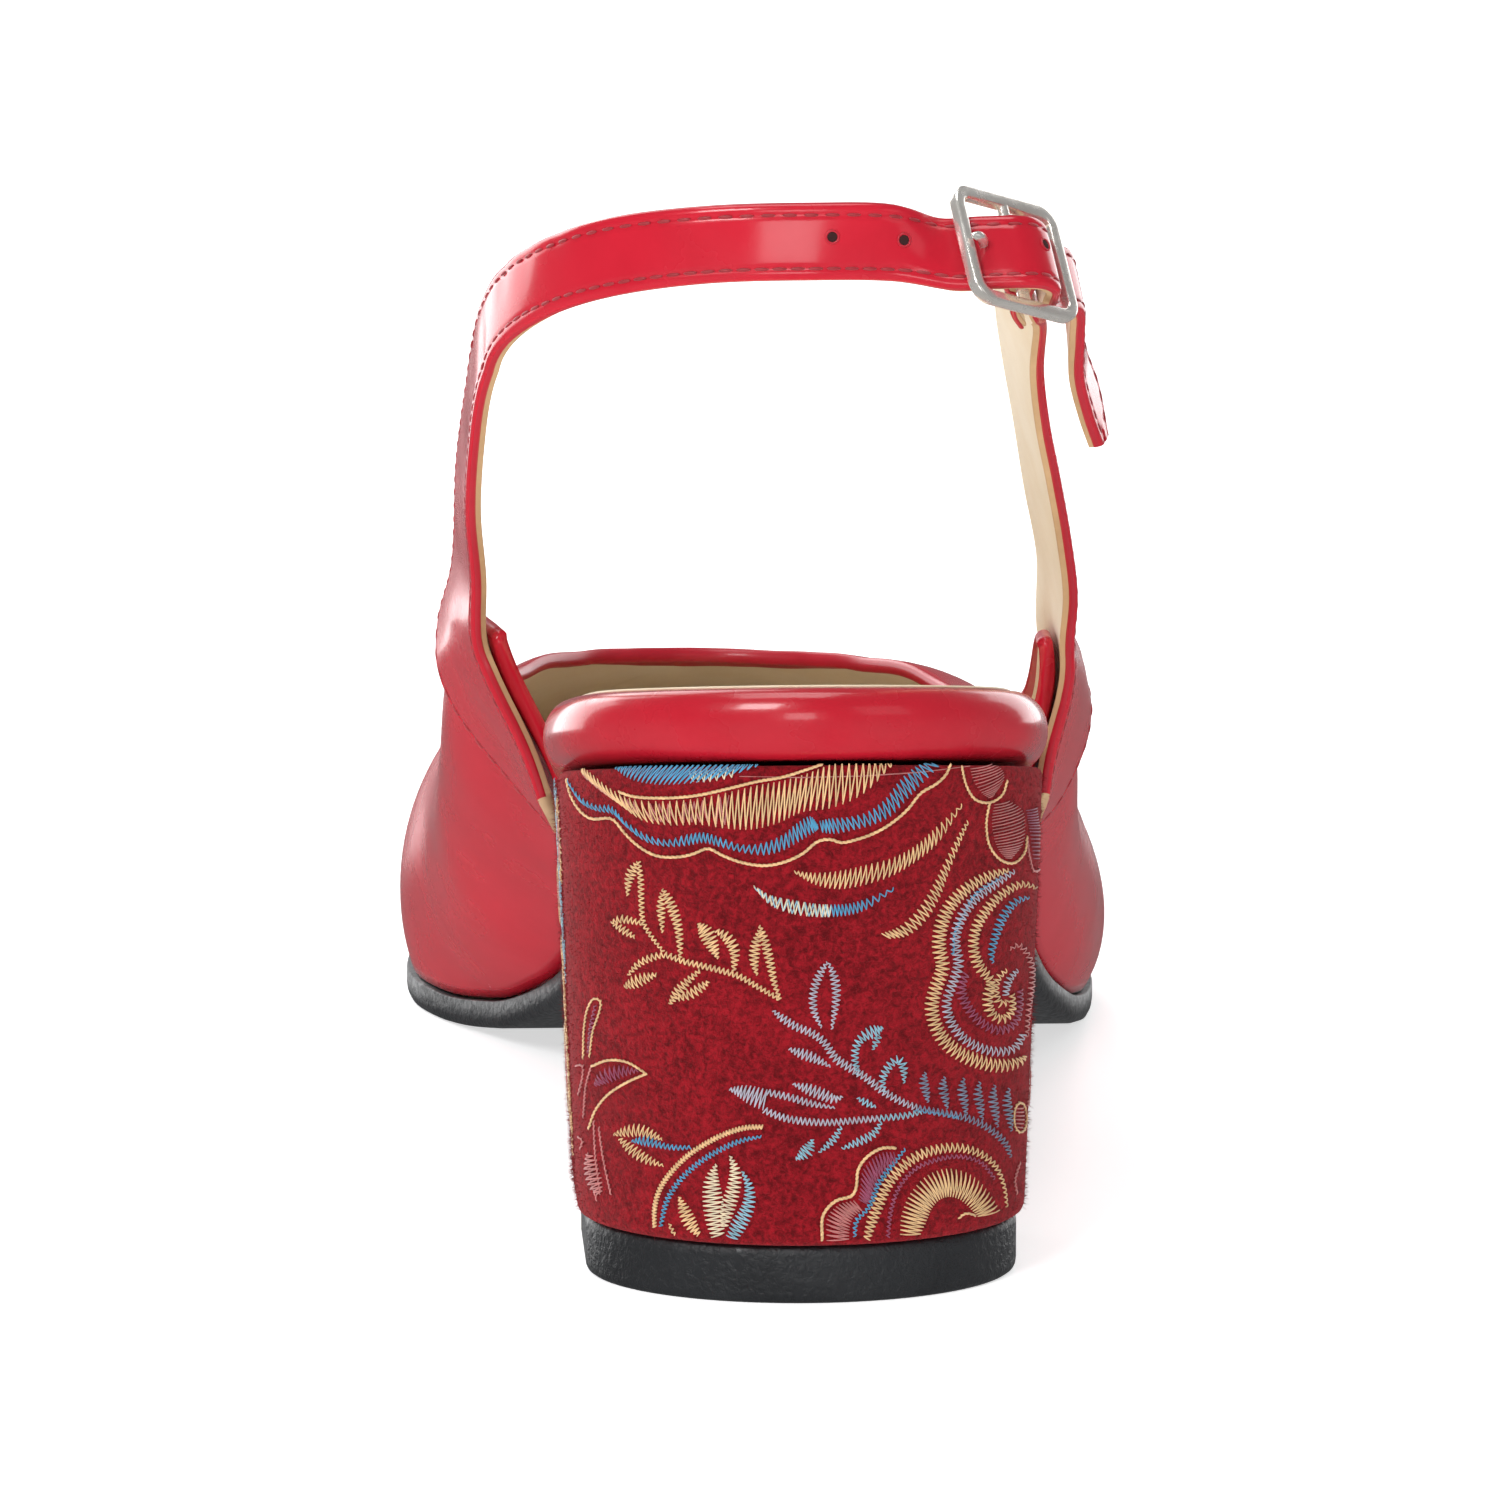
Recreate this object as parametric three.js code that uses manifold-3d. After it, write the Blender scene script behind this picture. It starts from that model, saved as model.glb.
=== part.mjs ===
// A right-foot slingback sandal with a covered block heel: closed vamp, wrapped footbed, ankle strap and buckle.
// Millimetres. +Y runs to the toe, +X to the outer side of the foot, +Z up; the origin is under the heel's centre.
import * as THREE from "three";
import { mergeVertices } from "three/addons/utils/BufferGeometryUtils.js";
import Module from "manifold-3d";

const wasm = await Module();
wasm.setup();

// Driving dimensions of the last
const LENGTH = 236; // heel back to toe tip, along the floor
const BALL_WIDTH = 84; // feather line to feather line at the ball
const SEAT_BACK = 24; // the seat's back edge behind the heel's centre
const HEEL_RISE = 58.8; // the seat's back above the forefoot
const TOE_SPRING = 10; // the toe tip above the forefoot
const INSTEP = 43; // the throat above the forefoot
// Walls and layers
const UPPER_WALL = 1.8;
const STRAP_WALL = 1.8;
const FOLD_WALL = 1; // the skived end that is folded round the buckle's bar
const SOLE = 3.5;
const SOLE_BEVEL = 1.2;
const TOP_LIFT = 6.5;
const SEAT_PAD = 8.2; // the wrapped footbed's rim at the seat
const WAIST_PAD = 4; // the footbed inside the vamp
const RIM_SWELL = 0.4; // the rim stands past the sole line
const SOCK = 0.8;
const SOCK_MARGIN = 3.4; // bare rim round the sock
const CLEARANCE = 0.3;
const BAND_CLEARANCE = 0.72; // the bands over the quarters
const INNER_MARGIN = 0.8; // the footbed inside the upper's wall
// The covered heel and its lift
const HEEL = { topHalf: 27.2, topBack: 22.8, topBreast: 24, footHalf: 25.3, footBack: 21.4, footBreast: 19 };
const HEEL_CORNER = 4;
const HEEL_WIDEST = -1; // where the round back meets the straight sides
const LIFT_INSET = 0.9; // the lift's side behind the covered heel's foot
// The sling
const STRAP_WIDTH = 9;
const ANKLE_HALF = 37; // half the loop's width
const SLING_BACK = -18.8; // the loop's back, along Y
const SLING_DEPTH = 80; // from the loop's back to the vamp's topline
const SLING_RISE = 58.8; // the loop's top above the quarter's top
const BAND_OVERHANG = 0.06; // how far the band covers the quarter's back edge, in outline steps
// The buckle
const BUCKLE = { long: 16.6, tall: 14.6, bar: 1.5, thick: 1.5, bevel: 0.25, corner: 2.6, post: 0.7, prong: 0.55 };
const BUCKLE_PLACE = { across: 0.62, along: 0.0675, rise: 0.873 }; // shares of the sling's half, depth and rise
const BUCKLE_RUN = [0.73, 0.62, -0.28]; // the strap's way through the frame
const BUCKLE_TALL = [-0.18, 0.573, 0.8]; // across the strap, upwards
const STRAP_SLIP = 1.5; // how far the strap hangs down where it passes over the post
const PRONG_SLOT = 2.2;
const PRONG_THROUGH = 5.2; // from the post to the hole that the prong comes through

// The sole line's half widths, shares of BALL_WIDTH, by share of LENGTH from the heel's back
const OUTLINE = [
  { along: 0, inner: 0, outer: 0 },
  { along: 0.017, inner: 0.165, outer: 0.165 },
  { along: 0.064, inner: 0.289, outer: 0.289 },
  { along: 0.136, inner: 0.333, outer: 0.333 },
  { along: 0.22, inner: 0.325, outer: 0.335 },
  { along: 0.314, inner: 0.29, outer: 0.335 },
  { along: 0.419, inner: 0.262, outer: 0.35 },
  { along: 0.525, inner: 0.28, outer: 0.4 },
  { along: 0.631, inner: 0.375, outer: 0.47 },
  { along: 0.729, inner: 0.482, outer: 0.505 },
  { along: 0.822, inner: 0.467, outer: 0.458 },
  { along: 0.907, inner: 0.375, outer: 0.327 },
  { along: 0.966, inner: 0.226, outer: 0.131 },
  { along: 1, inner: 0.07, outer: -0.07 },
];
const TIP = OUTLINE.length - 1;
const TURNS = 2 * TIP; // outline steps in one round trip

// The bed's height by share of LENGTH: heel as a share of HEEL_RISE, toe as a share of TOE_SPRING
const BED = [
  { along: -0.02, heel: 1.018, toe: 0 },
  { along: 0, heel: 1, toe: 0 },
  { along: 0.102, heel: 0.913, toe: 0 },
  { along: 0.208, heel: 0.808, toe: 0 },
  { along: 0.314, heel: 0.638, toe: 0 },
  { along: 0.42, heel: 0.417, toe: 0 },
  { along: 0.504, heel: 0.235, toe: 0 },
  { along: 0.568, heel: 0.11, toe: 0 },
  { along: 0.63, heel: 0.03, toe: 0 },
  { along: 0.69, heel: 0, toe: 0 },
  { along: 0.755, heel: 0, toe: 0 },
  { along: 0.801, heel: 0, toe: 0.06 },
  { along: 0.864, heel: 0, toe: 0.24 },
  { along: 0.928, heel: 0, toe: 0.55 },
  { along: 1, heel: 0, toe: 1 },
  { along: 1.02, heel: 0, toe: 1.15 },
];

// The upper's ribs, from the inner quarter round the toe to the outer quarter. step is the place on the outline;
// across, along and rise place the topline (shares of BALL_WIDTH, LENGTH and INSTEP above the bed there);
// swell and stand lead the rib off the feather line, reach and fall lead it into the topline (shares of INSTEP).
const RIBS = [
  { step: 4.45, across: -0.403, along: 0.252, rise: 0.435, swell: 0.05, stand: 0.19, reach: -0.045, fall: -0.16 },
  { step: 5, across: -0.432, along: 0.314, rise: 0.58, swell: 0.11, stand: 0.21, reach: 0.028, fall: -0.19 },
  { step: 6, across: -0.445, along: 0.411, rise: 0.672, swell: 0.38, stand: 0.23, reach: 0.08, fall: -0.21 },
  { step: 7, across: -0.375, along: 0.513, rise: 0.819, swell: 0.52, stand: 0.3, reach: 0.21, fall: -0.15 },
  { step: 8, across: -0.305, along: 0.59, rise: 0.974, swell: 0.37, stand: 0.35, reach: 0.35, fall: -0.06 },
  { step: 9, across: -0.238, along: 0.634, rise: 1.01, swell: 0.13, stand: 0.33, reach: 0.47, fall: -0.04 },
  { step: 10, across: -0.173, along: 0.657, rise: 1.014, swell: 0.12, stand: 0.28, reach: 0.6, fall: -0.11 },
  { step: 11, across: -0.125, along: 0.668, rise: 1.012, swell: 0.09, stand: 0.26, reach: 0.74, fall: -0.21 },
  { step: 12, across: -0.086, along: 0.673, rise: 1.01, swell: 0.07, stand: 0.26, reach: 0.82, fall: -0.27 },
  { step: 13, across: -0.048, along: 0.675, rise: 1.007, swell: 0.07, stand: 0.28, reach: 0.84, fall: -0.3 },
  { step: 14, across: -0.01, along: 0.673, rise: 1.005, swell: 0.07, stand: 0.26, reach: 0.82, fall: -0.28 },
  { step: 15, across: 0.033, along: 0.667, rise: 1.002, swell: 0.09, stand: 0.26, reach: 0.74, fall: -0.24 },
  { step: 16, across: 0.089, along: 0.655, rise: 1, swell: 0.12, stand: 0.26, reach: 0.63, fall: -0.14 },
  { step: 17, across: 0.15, along: 0.631, rise: 0.988, swell: 0.17, stand: 0.28, reach: 0.51, fall: -0.06 },
  { step: 18, across: 0.22, along: 0.583, rise: 0.933, swell: 0.2, stand: 0.3, reach: 0.42, fall: -0.04 },
  { step: 19, across: 0.305, along: 0.5, rise: 0.71, swell: 0.22, stand: 0.28, reach: 0.28, fall: -0.09 },
  { step: 20, across: 0.36, along: 0.411, rise: 0.54, swell: 0.19, stand: 0.23, reach: 0.21, fall: -0.14 },
  { step: 21, across: 0.372, along: 0.33, rise: 0.55, swell: 0.11, stand: 0.19, reach: 0.105, fall: -0.14 },
  { step: 21.55, across: 0.366, along: 0.252, rise: 0.412, swell: 0.02, stand: 0.19, reach: 0.02, fall: -0.16 },
];

// The straps' free rows. low is the back or lower edge, high the front or upper edge, each as shares of
// ANKLE_HALF, SLING_DEPTH and SLING_RISE.
const SLING_ROWS = [
  { low: [-0.957, 0.6, 0.135], high: [-1.01, 0.885, 0.1] },
  { low: [-0.978, 0.516, 0.28], high: [-1, 0.735, 0.34] },
  { low: [-0.972, 0.43, 0.427], high: [-0.975, 0.57, 0.537] },
  { low: [-0.95, 0.34, 0.557], high: [-0.945, 0.435, 0.7] },
  { low: [-0.9, 0.254, 0.66], high: [-0.885, 0.31, 0.806] },
  { low: [-0.775, 0.16, 0.739], high: [-0.765, 0.188, 0.887] },
  { low: [-0.585, 0.075, 0.796], high: [-0.58, 0.091, 0.945] },
  { low: [-0.31, 0.019, 0.831], high: [-0.31, 0.03, 0.977] },
  { low: [0, 0, 0.84], high: [0, 0.01, 0.986] },
  { low: [0.257, 0.01, 0.835], high: [0.257, 0.0225, 0.979] },
];
const TAIL_ROWS = [
  { low: [0.832, 0.204, 0.73], high: [0.8, 0.279, 0.838] },
  { low: [0.843, 0.26, 0.667], high: [0.83, 0.355, 0.7415] },
  { low: [0.846, 0.305, 0.583], high: [0.868, 0.411, 0.629] },
  { low: [0.878, 0.3375, 0.503], high: [0.915, 0.44, 0.548] },
  { low: [0.9135, 0.3625, 0.439], high: [0.943, 0.416, 0.452] },
];
// The bands' front seams: outline steps at the feather line and at the topline
const INNER_SEAM = { foot: 5.08, top: 5.42 };
const OUTER_SEAM = { foot: 20.92, top: 20.58 };
const OUTER_ROWS = [
  { low: [0.88, 0.6225, 0.085], high: [0.828, 0.885, 0.12] },
  { low: [0.854, 0.5725, 0.204], high: [0.775, 0.7975, 0.272] },
  { low: [0.81, 0.504, 0.34], high: [0.722, 0.69, 0.442] },
  { low: [0.7675, 0.435, 0.46], high: [0.675, 0.585, 0.578] },
  { low: [0.74, 0.366, 0.578], high: [0.638, 0.485, 0.697] },
  { low: [0.735, 0.26, 0.689], high: [0.622, 0.3475, 0.791] },
];

// Mesh steps
const RIB_STEPS = 12;
const RIBS_PER_STEP = 3;
const LAYER_STEPS = 3;
const STRAP_COLUMNS = 4;
const ROWS_PER_STEP = 3;
const BAND_STEPS = 6;
const HEEL_STEPS = 12;
const CORNER_STEPS = 3;

const lerp = THREE.MathUtils.lerp;
const vec = (x, y, z) => new THREE.Vector3(x, y, z);
const shareY = (along) => along * LENGTH - SEAT_BACK;

// A curve through the rows of a table that never overshoots them
function through(rows, at, key) {
  const xs = rows.map((row) => row[at]);
  const ys = rows.map((row) => row[key]);
  const rise = xs.slice(1).map((x, i) => (ys[i + 1] - ys[i]) / (x - xs[i]));
  const slope = xs.map((_, i) => {
    const before = rise[Math.max(i - 1, 0)];
    const after = rise[Math.min(i, rise.length - 1)];
    return before * after <= 0 ? 0 : (2 * before * after) / (before + after);
  });
  return (x) => {
    let i = xs.findIndex((known) => known > x) - 1;
    if (i === -2) i = xs.length - 2;
    i = Math.max(i, 0);
    const span = xs[i + 1] - xs[i];
    const t = THREE.MathUtils.clamp((x - xs[i]) / span, 0, 1);
    const ease = t * t * (3 - 2 * t);
    const leave = t * (1 - t) * (1 - t) * span * slope[i];
    const arrive = t * t * (t - 1) * span * slope[i + 1];
    return lerp(ys[i], ys[i + 1], ease) + leave + arrive;
  };
}

// A smooth curve through rows that are keyed by outline step, let run a little past both ends
function smooth(rows, key) {
  const slopeAt = (i) => {
    const before = rows[Math.max(i - 1, 0)];
    const after = rows[Math.min(i + 1, rows.length - 1)];
    return (after[key] - before[key]) / (after.step - before.step);
  };
  return (step) => {
    let i = rows.findIndex((row) => row.step > step) - 1;
    if (i === -2) i = rows.length - 2;
    i = Math.max(i, 0);
    const span = rows[i + 1].step - rows[i].step;
    const t = (step - rows[i].step) / span;
    const ease = t * t * (3 - 2 * t);
    const inside = t * (1 - t) * span * (slopeAt(i) * (1 - t) - slopeAt(i + 1) * t);
    const end = t < 0 ? rows[i][key] + t * span * slopeAt(i) : rows[i + 1][key] + (t - 1) * span * slopeAt(i + 1);
    return t < 0 || t > 1 ? end : lerp(rows[i][key], rows[i + 1][key], ease) + inside;
  };
}

const heelShare = through(BED, "along", "heel");
const toeShare = through(BED, "along", "toe");

// The top of the outsole and of the covered heel
function bed(y) {
  const along = (y + SEAT_BACK) / LENGTH;
  return SOLE + HEEL_RISE * heelShare(along) + TOE_SPRING * toeShare(along);
}

const innerSide = OUTLINE.map((row) => vec(-row.inner * BALL_WIDTH, shareY(row.along), 0));
const outerSide = OUTLINE.slice(1, TIP).reverse().map((row) => vec(row.outer * BALL_WIDTH, shareY(row.along), 0));
const soleLine = new THREE.CatmullRomCurve3([...innerSide, ...outerSide], true, "centripetal");

// A plan point of the sole line, moved inwards by inset, at an outline step
function edge(step, inset = 0) {
  const t = THREE.MathUtils.euclideanModulo(step / TURNS, 1);
  const way = soleLine.getTangent(t);
  return soleLine.getPoint(t).add(vec(way.y, -way.x, 0).multiplyScalar(inset));
}

// One closed solid from an index list: faces turned outwards, empty faces dropped
function closed(points, faces) {
  const flat = new Float32Array(points.flatMap((p) => [p.x, p.y, p.z]));
  const raw = new THREE.BufferGeometry().setAttribute("position", new THREE.BufferAttribute(flat, 3));
  const geometry = mergeVertices(raw.setIndex(faces.flat()), 1e-3);
  const at = geometry.attributes.position;
  const corner = (i) => vec().fromBufferAttribute(at, i);
  let index = geometry.index.array;
  let kept = [];
  let volume = 0;
  for (let i = 0; i < index.length; i += 3) {
    const [a, b, c] = [index[i], index[i + 1], index[i + 2]];
    if (a === b || b === c || c === a) continue;
    kept.push([a, b, c]);
    volume += corner(a).dot(corner(b).cross(corner(c)));
  }
  if (volume < 0) kept = kept.map(([a, b, c]) => [a, c, b]);
  return geometry.setIndex(kept.flat());
}

// A wall between two grids of points of the same size
function wall(front, back) {
  const rows = front.length;
  const columns = front[0].length;
  const points = [...front.flat(), ...back.flat()];
  const f = (i, k) => i * columns + k;
  const b = (i, k) => rows * columns + f(i, k);
  const faces = [];
  const quad = (p, q, r, s) => faces.push([p, q, r], [p, r, s]);
  for (let i = 0; i < rows - 1; i += 1) {
    for (let k = 0; k < columns - 1; k += 1) {
      quad(f(i, k), f(i + 1, k), f(i + 1, k + 1), f(i, k + 1));
      quad(b(i, k), b(i, k + 1), b(i + 1, k + 1), b(i + 1, k));
    }
    quad(f(i, 0), b(i, 0), b(i + 1, 0), f(i + 1, 0));
    quad(f(i, columns - 1), f(i + 1, columns - 1), b(i + 1, columns - 1), b(i, columns - 1));
  }
  for (let k = 0; k < columns - 1; k += 1) {
    quad(f(0, k), f(0, k + 1), b(0, k + 1), b(0, k));
    quad(f(rows - 1, k), b(rows - 1, k), b(rows - 1, k + 1), f(rows - 1, k + 1));
  }
  return closed(points, faces);
}

// A solid through rungs: each rung is a list of inner-side points and of outer-side points, bottom to top
function ladder(rungs) {
  const count = rungs[0].inner.length;
  const loop = 2 * count;
  const points = rungs.flatMap((rung) => [...rung.inner, ...[...rung.outer].reverse()]);
  const faces = [];
  const quad = (p, q, r, s) => faces.push([p, q, r], [p, r, s]);
  rungs.slice(1).forEach((_, i) => {
    for (let k = 0; k < loop; k += 1) {
      const next = (k + 1) % loop;
      quad(i * loop + k, i * loop + next, (i + 1) * loop + next, (i + 1) * loop + k);
    }
  });
  const cap = (start, front) => {
    for (let k = 0; k < count - 1; k += 1) {
      const ends = [start + k, start + k + 1, start + loop - 2 - k, start + loop - 1 - k];
      quad(...(front ? ends.reverse() : ends));
    }
  };
  cap(0, true);
  cap((rungs.length - 1) * loop, false);
  return closed(points, faces);
}

// A layer that lies on the bed, from an outline step to the toe; profile(y) lists its edge from bottom to top
function layer(firstStep, profile) {
  const rungs = [];
  const count = Math.ceil((TIP - firstStep) * LAYER_STEPS);
  for (let i = 0; i <= count; i += 1) {
    const step = lerp(firstStep, TIP, i / count);
    const side = (at) =>
      profile(edge(at).y).map(({ inset, lift }) => {
        const p = edge(at, inset);
        return vec(p.x, p.y, bed(p.y) + lift);
      });
    rungs.push({ inner: side(step), outer: side(TURNS - step) });
  }
  return ladder(rungs);
}

// The outline step on the inner side whose point lies at y
function stepAt(y) {
  let low = 0;
  let high = TIP;
  for (let i = 0; i < 40; i += 1) {
    const middle = (low + high) / 2;
    if (edge(middle).y < y) low = middle;
    else high = middle;
  }
  return low;
}

// The covered heel's plan at one height, as rungs from the round back to the breast
function heelRungs(half, back, breast) {
  const sides = [];
  for (let i = 0; i <= HEEL_STEPS; i += 1) {
    const turn = (i / HEEL_STEPS) * (Math.PI / 2);
    sides.push([half * Math.sin(turn), HEEL_WIDEST - (back + HEEL_WIDEST) * Math.cos(turn)]);
  }
  for (let i = 0; i <= CORNER_STEPS; i += 1) {
    const turn = (i / CORNER_STEPS) * (Math.PI / 2);
    const x = half - HEEL_CORNER + HEEL_CORNER * Math.cos(turn);
    sides.push([x, breast - HEEL_CORNER + HEEL_CORNER * Math.sin(turn)]);
  }
  return sides;
}

// A solid through heel plans, one for each level; height(level, y) places it
function heelSolid(levels) {
  const plans = levels.map((level) => heelRungs(level.half, level.back, level.breast));
  const rungs = plans[0].map((_, i) => {
    const side = (sign) => levels.map((level, k) => {
      const [x, y] = plans[k][i];
      return vec(sign * x, y, level.height(y));
    });
    return { inner: side(-1), outer: side(1) };
  });
  return ladder(rungs);
}

const rib = Object.fromEntries(Object.keys(RIBS[0]).map((key) => [key, smooth(RIBS, key)]));

// The upper's outer face: step runs round the feather line, v from it (0) to the topline (1)
function upperPoint(step, v) {
  const foot = edge(step);
  foot.z = bed(foot.y) + CLEARANCE;
  const out = edge(step, -1).sub(edge(step));
  const top = vec(rib.across(step) * BALL_WIDTH, shareY(rib.along(step)), rib.rise(step) * INSTEP);
  top.z += bed(top.y);
  const rise = (p, sideways, up) =>
    p.clone().addScaledVector(out, sideways * INSTEP).add(vec(0, 0, up * INSTEP));
  const curve = new THREE.CubicBezierCurve3(
    foot,
    rise(foot, rib.swell(step), rib.stand(step)),
    rise(top, rib.reach(step), rib.fall(step)),
    top,
  );
  return curve.getPoint(v);
}

// The outward direction of the upper at a place
function upperOut(step, v) {
  const small = 0.02;
  const alongSole = upperPoint(step + small, v).sub(upperPoint(step - small, v));
  const upwards = upperPoint(step, v + small).sub(upperPoint(step, v - small));
  return upwards.cross(alongSole).normalize();
}

const FIRST_RIB = RIBS[0].step;
const LAST_RIB = RIBS[RIBS.length - 1].step;

function makeUpper() {
  const outer = [];
  const inner = [];
  const count = Math.round((LAST_RIB - FIRST_RIB) * RIBS_PER_STEP);
  for (let i = 0; i <= count; i += 1) {
    const step = lerp(FIRST_RIB, LAST_RIB, i / count);
    const columns = Array.from({ length: RIB_STEPS + 1 }, (_, k) => k / RIB_STEPS);
    outer.push(columns.map((v) => upperPoint(step, v)));
    inner.push(columns.map((v) => {
      const p = upperPoint(step, v).addScaledVector(upperOut(step, v), -UPPER_WALL);
      p.z = Math.max(p.z, bed(p.y) + CLEARANCE);
      return p;
    }));
  }
  return wall(outer, inner);
}

const QUARTER_TOP = upperPoint(FIRST_RIB, 1).z;
const slingPoint = ([across, along, rise]) =>
  vec(across * ANKLE_HALF, SLING_BACK + along * SLING_DEPTH, QUARTER_TOP + rise * SLING_RISE);

// A strip's mid surface through rows of edge pairs, each row a list of points across
function freeRow({ low, high }) {
  const [from, to] = [slingPoint(low), slingPoint(high)];
  return Array.from({ length: STRAP_COLUMNS + 1 }, (_, k) => from.clone().lerp(to, k / STRAP_COLUMNS));
}

// The rows of a band that lies on the upper, from its back edge to its front seam
function overlayRows(backStep, seamLine) {
  const rows = [];
  for (let i = 0; i <= BAND_STEPS; i += 1) {
    const v = i / BAND_STEPS;
    const seam = lerp(seamLine.foot, seamLine.top, v);
    rows.push(Array.from({ length: STRAP_COLUMNS + 1 }, (_, k) => {
      const step = lerp(backStep, seam, k / STRAP_COLUMNS);
      const p = upperPoint(step, v).addScaledVector(upperOut(step, v), BAND_CLEARANCE + STRAP_WALL / 2);
      p.z = Math.max(p.z, bed(p.y) + CLEARANCE);
      return p;
    }));
  }
  return rows;
}

function fineRows(rows, perStep) {
  const curves = rows[0].map((_, k) => new THREE.CatmullRomCurve3(rows.map((row) => row[k]), false, "centripetal"));
  const count = (rows.length - 1) * perStep;
  return Array.from({ length: count + 1 }, (_, i) => curves.map((curve) => curve.getPoint(i / count)));
}

// A strap of one thickness from its mid surface; thickness(share) lets it thin towards an end
function strip(rows, thickness, side = 1) {
  const last = rows.length - 1;
  const face = (sign) =>
    rows.map((row, i) =>
      row.map((p, k) => {
        const way = rows[Math.min(i + 1, last)][k].clone().sub(rows[Math.max(i - 1, 0)][k]);
        const across = row[Math.min(k + 1, row.length - 1)].clone().sub(row[Math.max(k - 1, 0)]);
        const out = way.cross(across).normalize();
        return p.clone().addScaledVector(out, (sign * side * thickness(i / last)) / 2);
      }),
    );
  return wall(face(1), face(-1));
}

// The buckle's own frame: run along the strap, tall across it, out away from the ankle
const buckleCentre = slingPoint([BUCKLE_PLACE.across, BUCKLE_PLACE.along, BUCKLE_PLACE.rise]);
const run = vec(...BUCKLE_RUN).normalize();
const out = run.clone().cross(vec(...BUCKLE_TALL)).normalize();
const tall = out.clone().cross(run);
const buckleFrame = new THREE.Matrix4().makeBasis(run, tall, out).setPosition(buckleCentre);
const inBuckle = (a, w, o) => vec(a, w, o).applyMatrix4(buckleFrame);

const BAR_REACH = (BUCKLE.long - BUCKLE.bar) / 2; // post to side bar, centre to centre
const UNDER_BAR = BUCKLE.thick / 2 + CLEARANCE + 0.85 * STRAP_WALL + BUCKLE.bar / 3; // the strap slants there
const FOLD_RADIUS = BUCKLE.post + CLEARANCE + FOLD_WALL / 2;
const OVER_POST = FOLD_RADIUS + FOLD_WALL / 2 + CLEARANCE + STRAP_WALL / 2;

function buckleRow(along, outwards, width, slip = 0) {
  return Array.from({ length: STRAP_COLUMNS + 1 }, (_, k) =>
    inBuckle(along, width * (k / STRAP_COLUMNS - 0.5) - slip, outwards));
}

// The strap's arch from under one side bar, over the post, to under the other: along is a share of BAR_REACH,
// over runs from under the bars (0) to over the post (1), slip is a share of STRAP_SLIP
const ARCH = [
  { along: -1, over: 0, slip: 0 },
  { along: -0.6, over: 0.5, slip: 0.5 },
  { along: -0.25, over: 0.93, slip: 1 },
  { along: 0, over: 1, slip: 1 },
  { along: 0.25, over: 0.93, slip: 1 },
  { along: 0.6, over: 0.5, slip: 0.5 },
  { along: 1, over: 0, slip: 0 },
];

// The buckle strap's way in to the post, and its folded end back: along is a share of the reach past the side
// bar, depth a share of UNDER_BAR below the frame
const FOLD_IN = [{ along: 0.66, depth: 1.2 }, { along: 0.4, depth: 0.62 }];
const FOLD_BACK = [{ along: 0.36, depth: 0.62 }, { along: 0.62, depth: 1.2 }];
const FOLD_TURN = { from: 60, to: 285, steps: 7 }; // degrees round the post

// A solid from a closed geometry
function solidOf(geometry) {
  const bare = geometry.index ? geometry.toNonIndexed() : geometry.clone();
  const merged = mergeVertices(new THREE.BufferGeometry().setAttribute("position", bare.attributes.position), 1e-3);
  const { position } = merged.attributes;
  return new wasm.Manifold(
    new wasm.Mesh({
      numProp: 3,
      vertProperties: new Float32Array(position.array),
      triVerts: new Uint32Array(merged.index.array),
    }),
  );
}

function geometryOf(solid) {
  const mesh = solid.getMesh();
  return new THREE.BufferGeometry()
    .setAttribute("position", new THREE.BufferAttribute(mesh.vertProperties, 3))
    .setIndex(new THREE.BufferAttribute(mesh.triVerts, 1));
}

function makeSling() {
  const arch = ARCH.map(({ along, over, slip }) =>
    buckleRow(BAR_REACH * along, lerp(-UNDER_BAR, OVER_POST, over), STRAP_WIDTH, STRAP_SLIP * slip));
  const band = overlayRows(FIRST_RIB - BAND_OVERHANG, INNER_SEAM);
  const rows = [...band, ...SLING_ROWS.map(freeRow), ...arch, ...TAIL_ROWS.map(freeRow)];
  const strap = solidOf(strip(fineRows(rows, ROWS_PER_STEP), () => STRAP_WALL));
  const hole = new THREE.BoxGeometry(PRONG_SLOT * 1.5, PRONG_SLOT, 3 * OVER_POST);
  hole.applyMatrix4(buckleFrame.clone().multiply(new THREE.Matrix4().makeTranslation(-PRONG_THROUGH, 0, 0)));
  return geometryOf(strap.subtract(solidOf(hole)));
}

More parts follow.
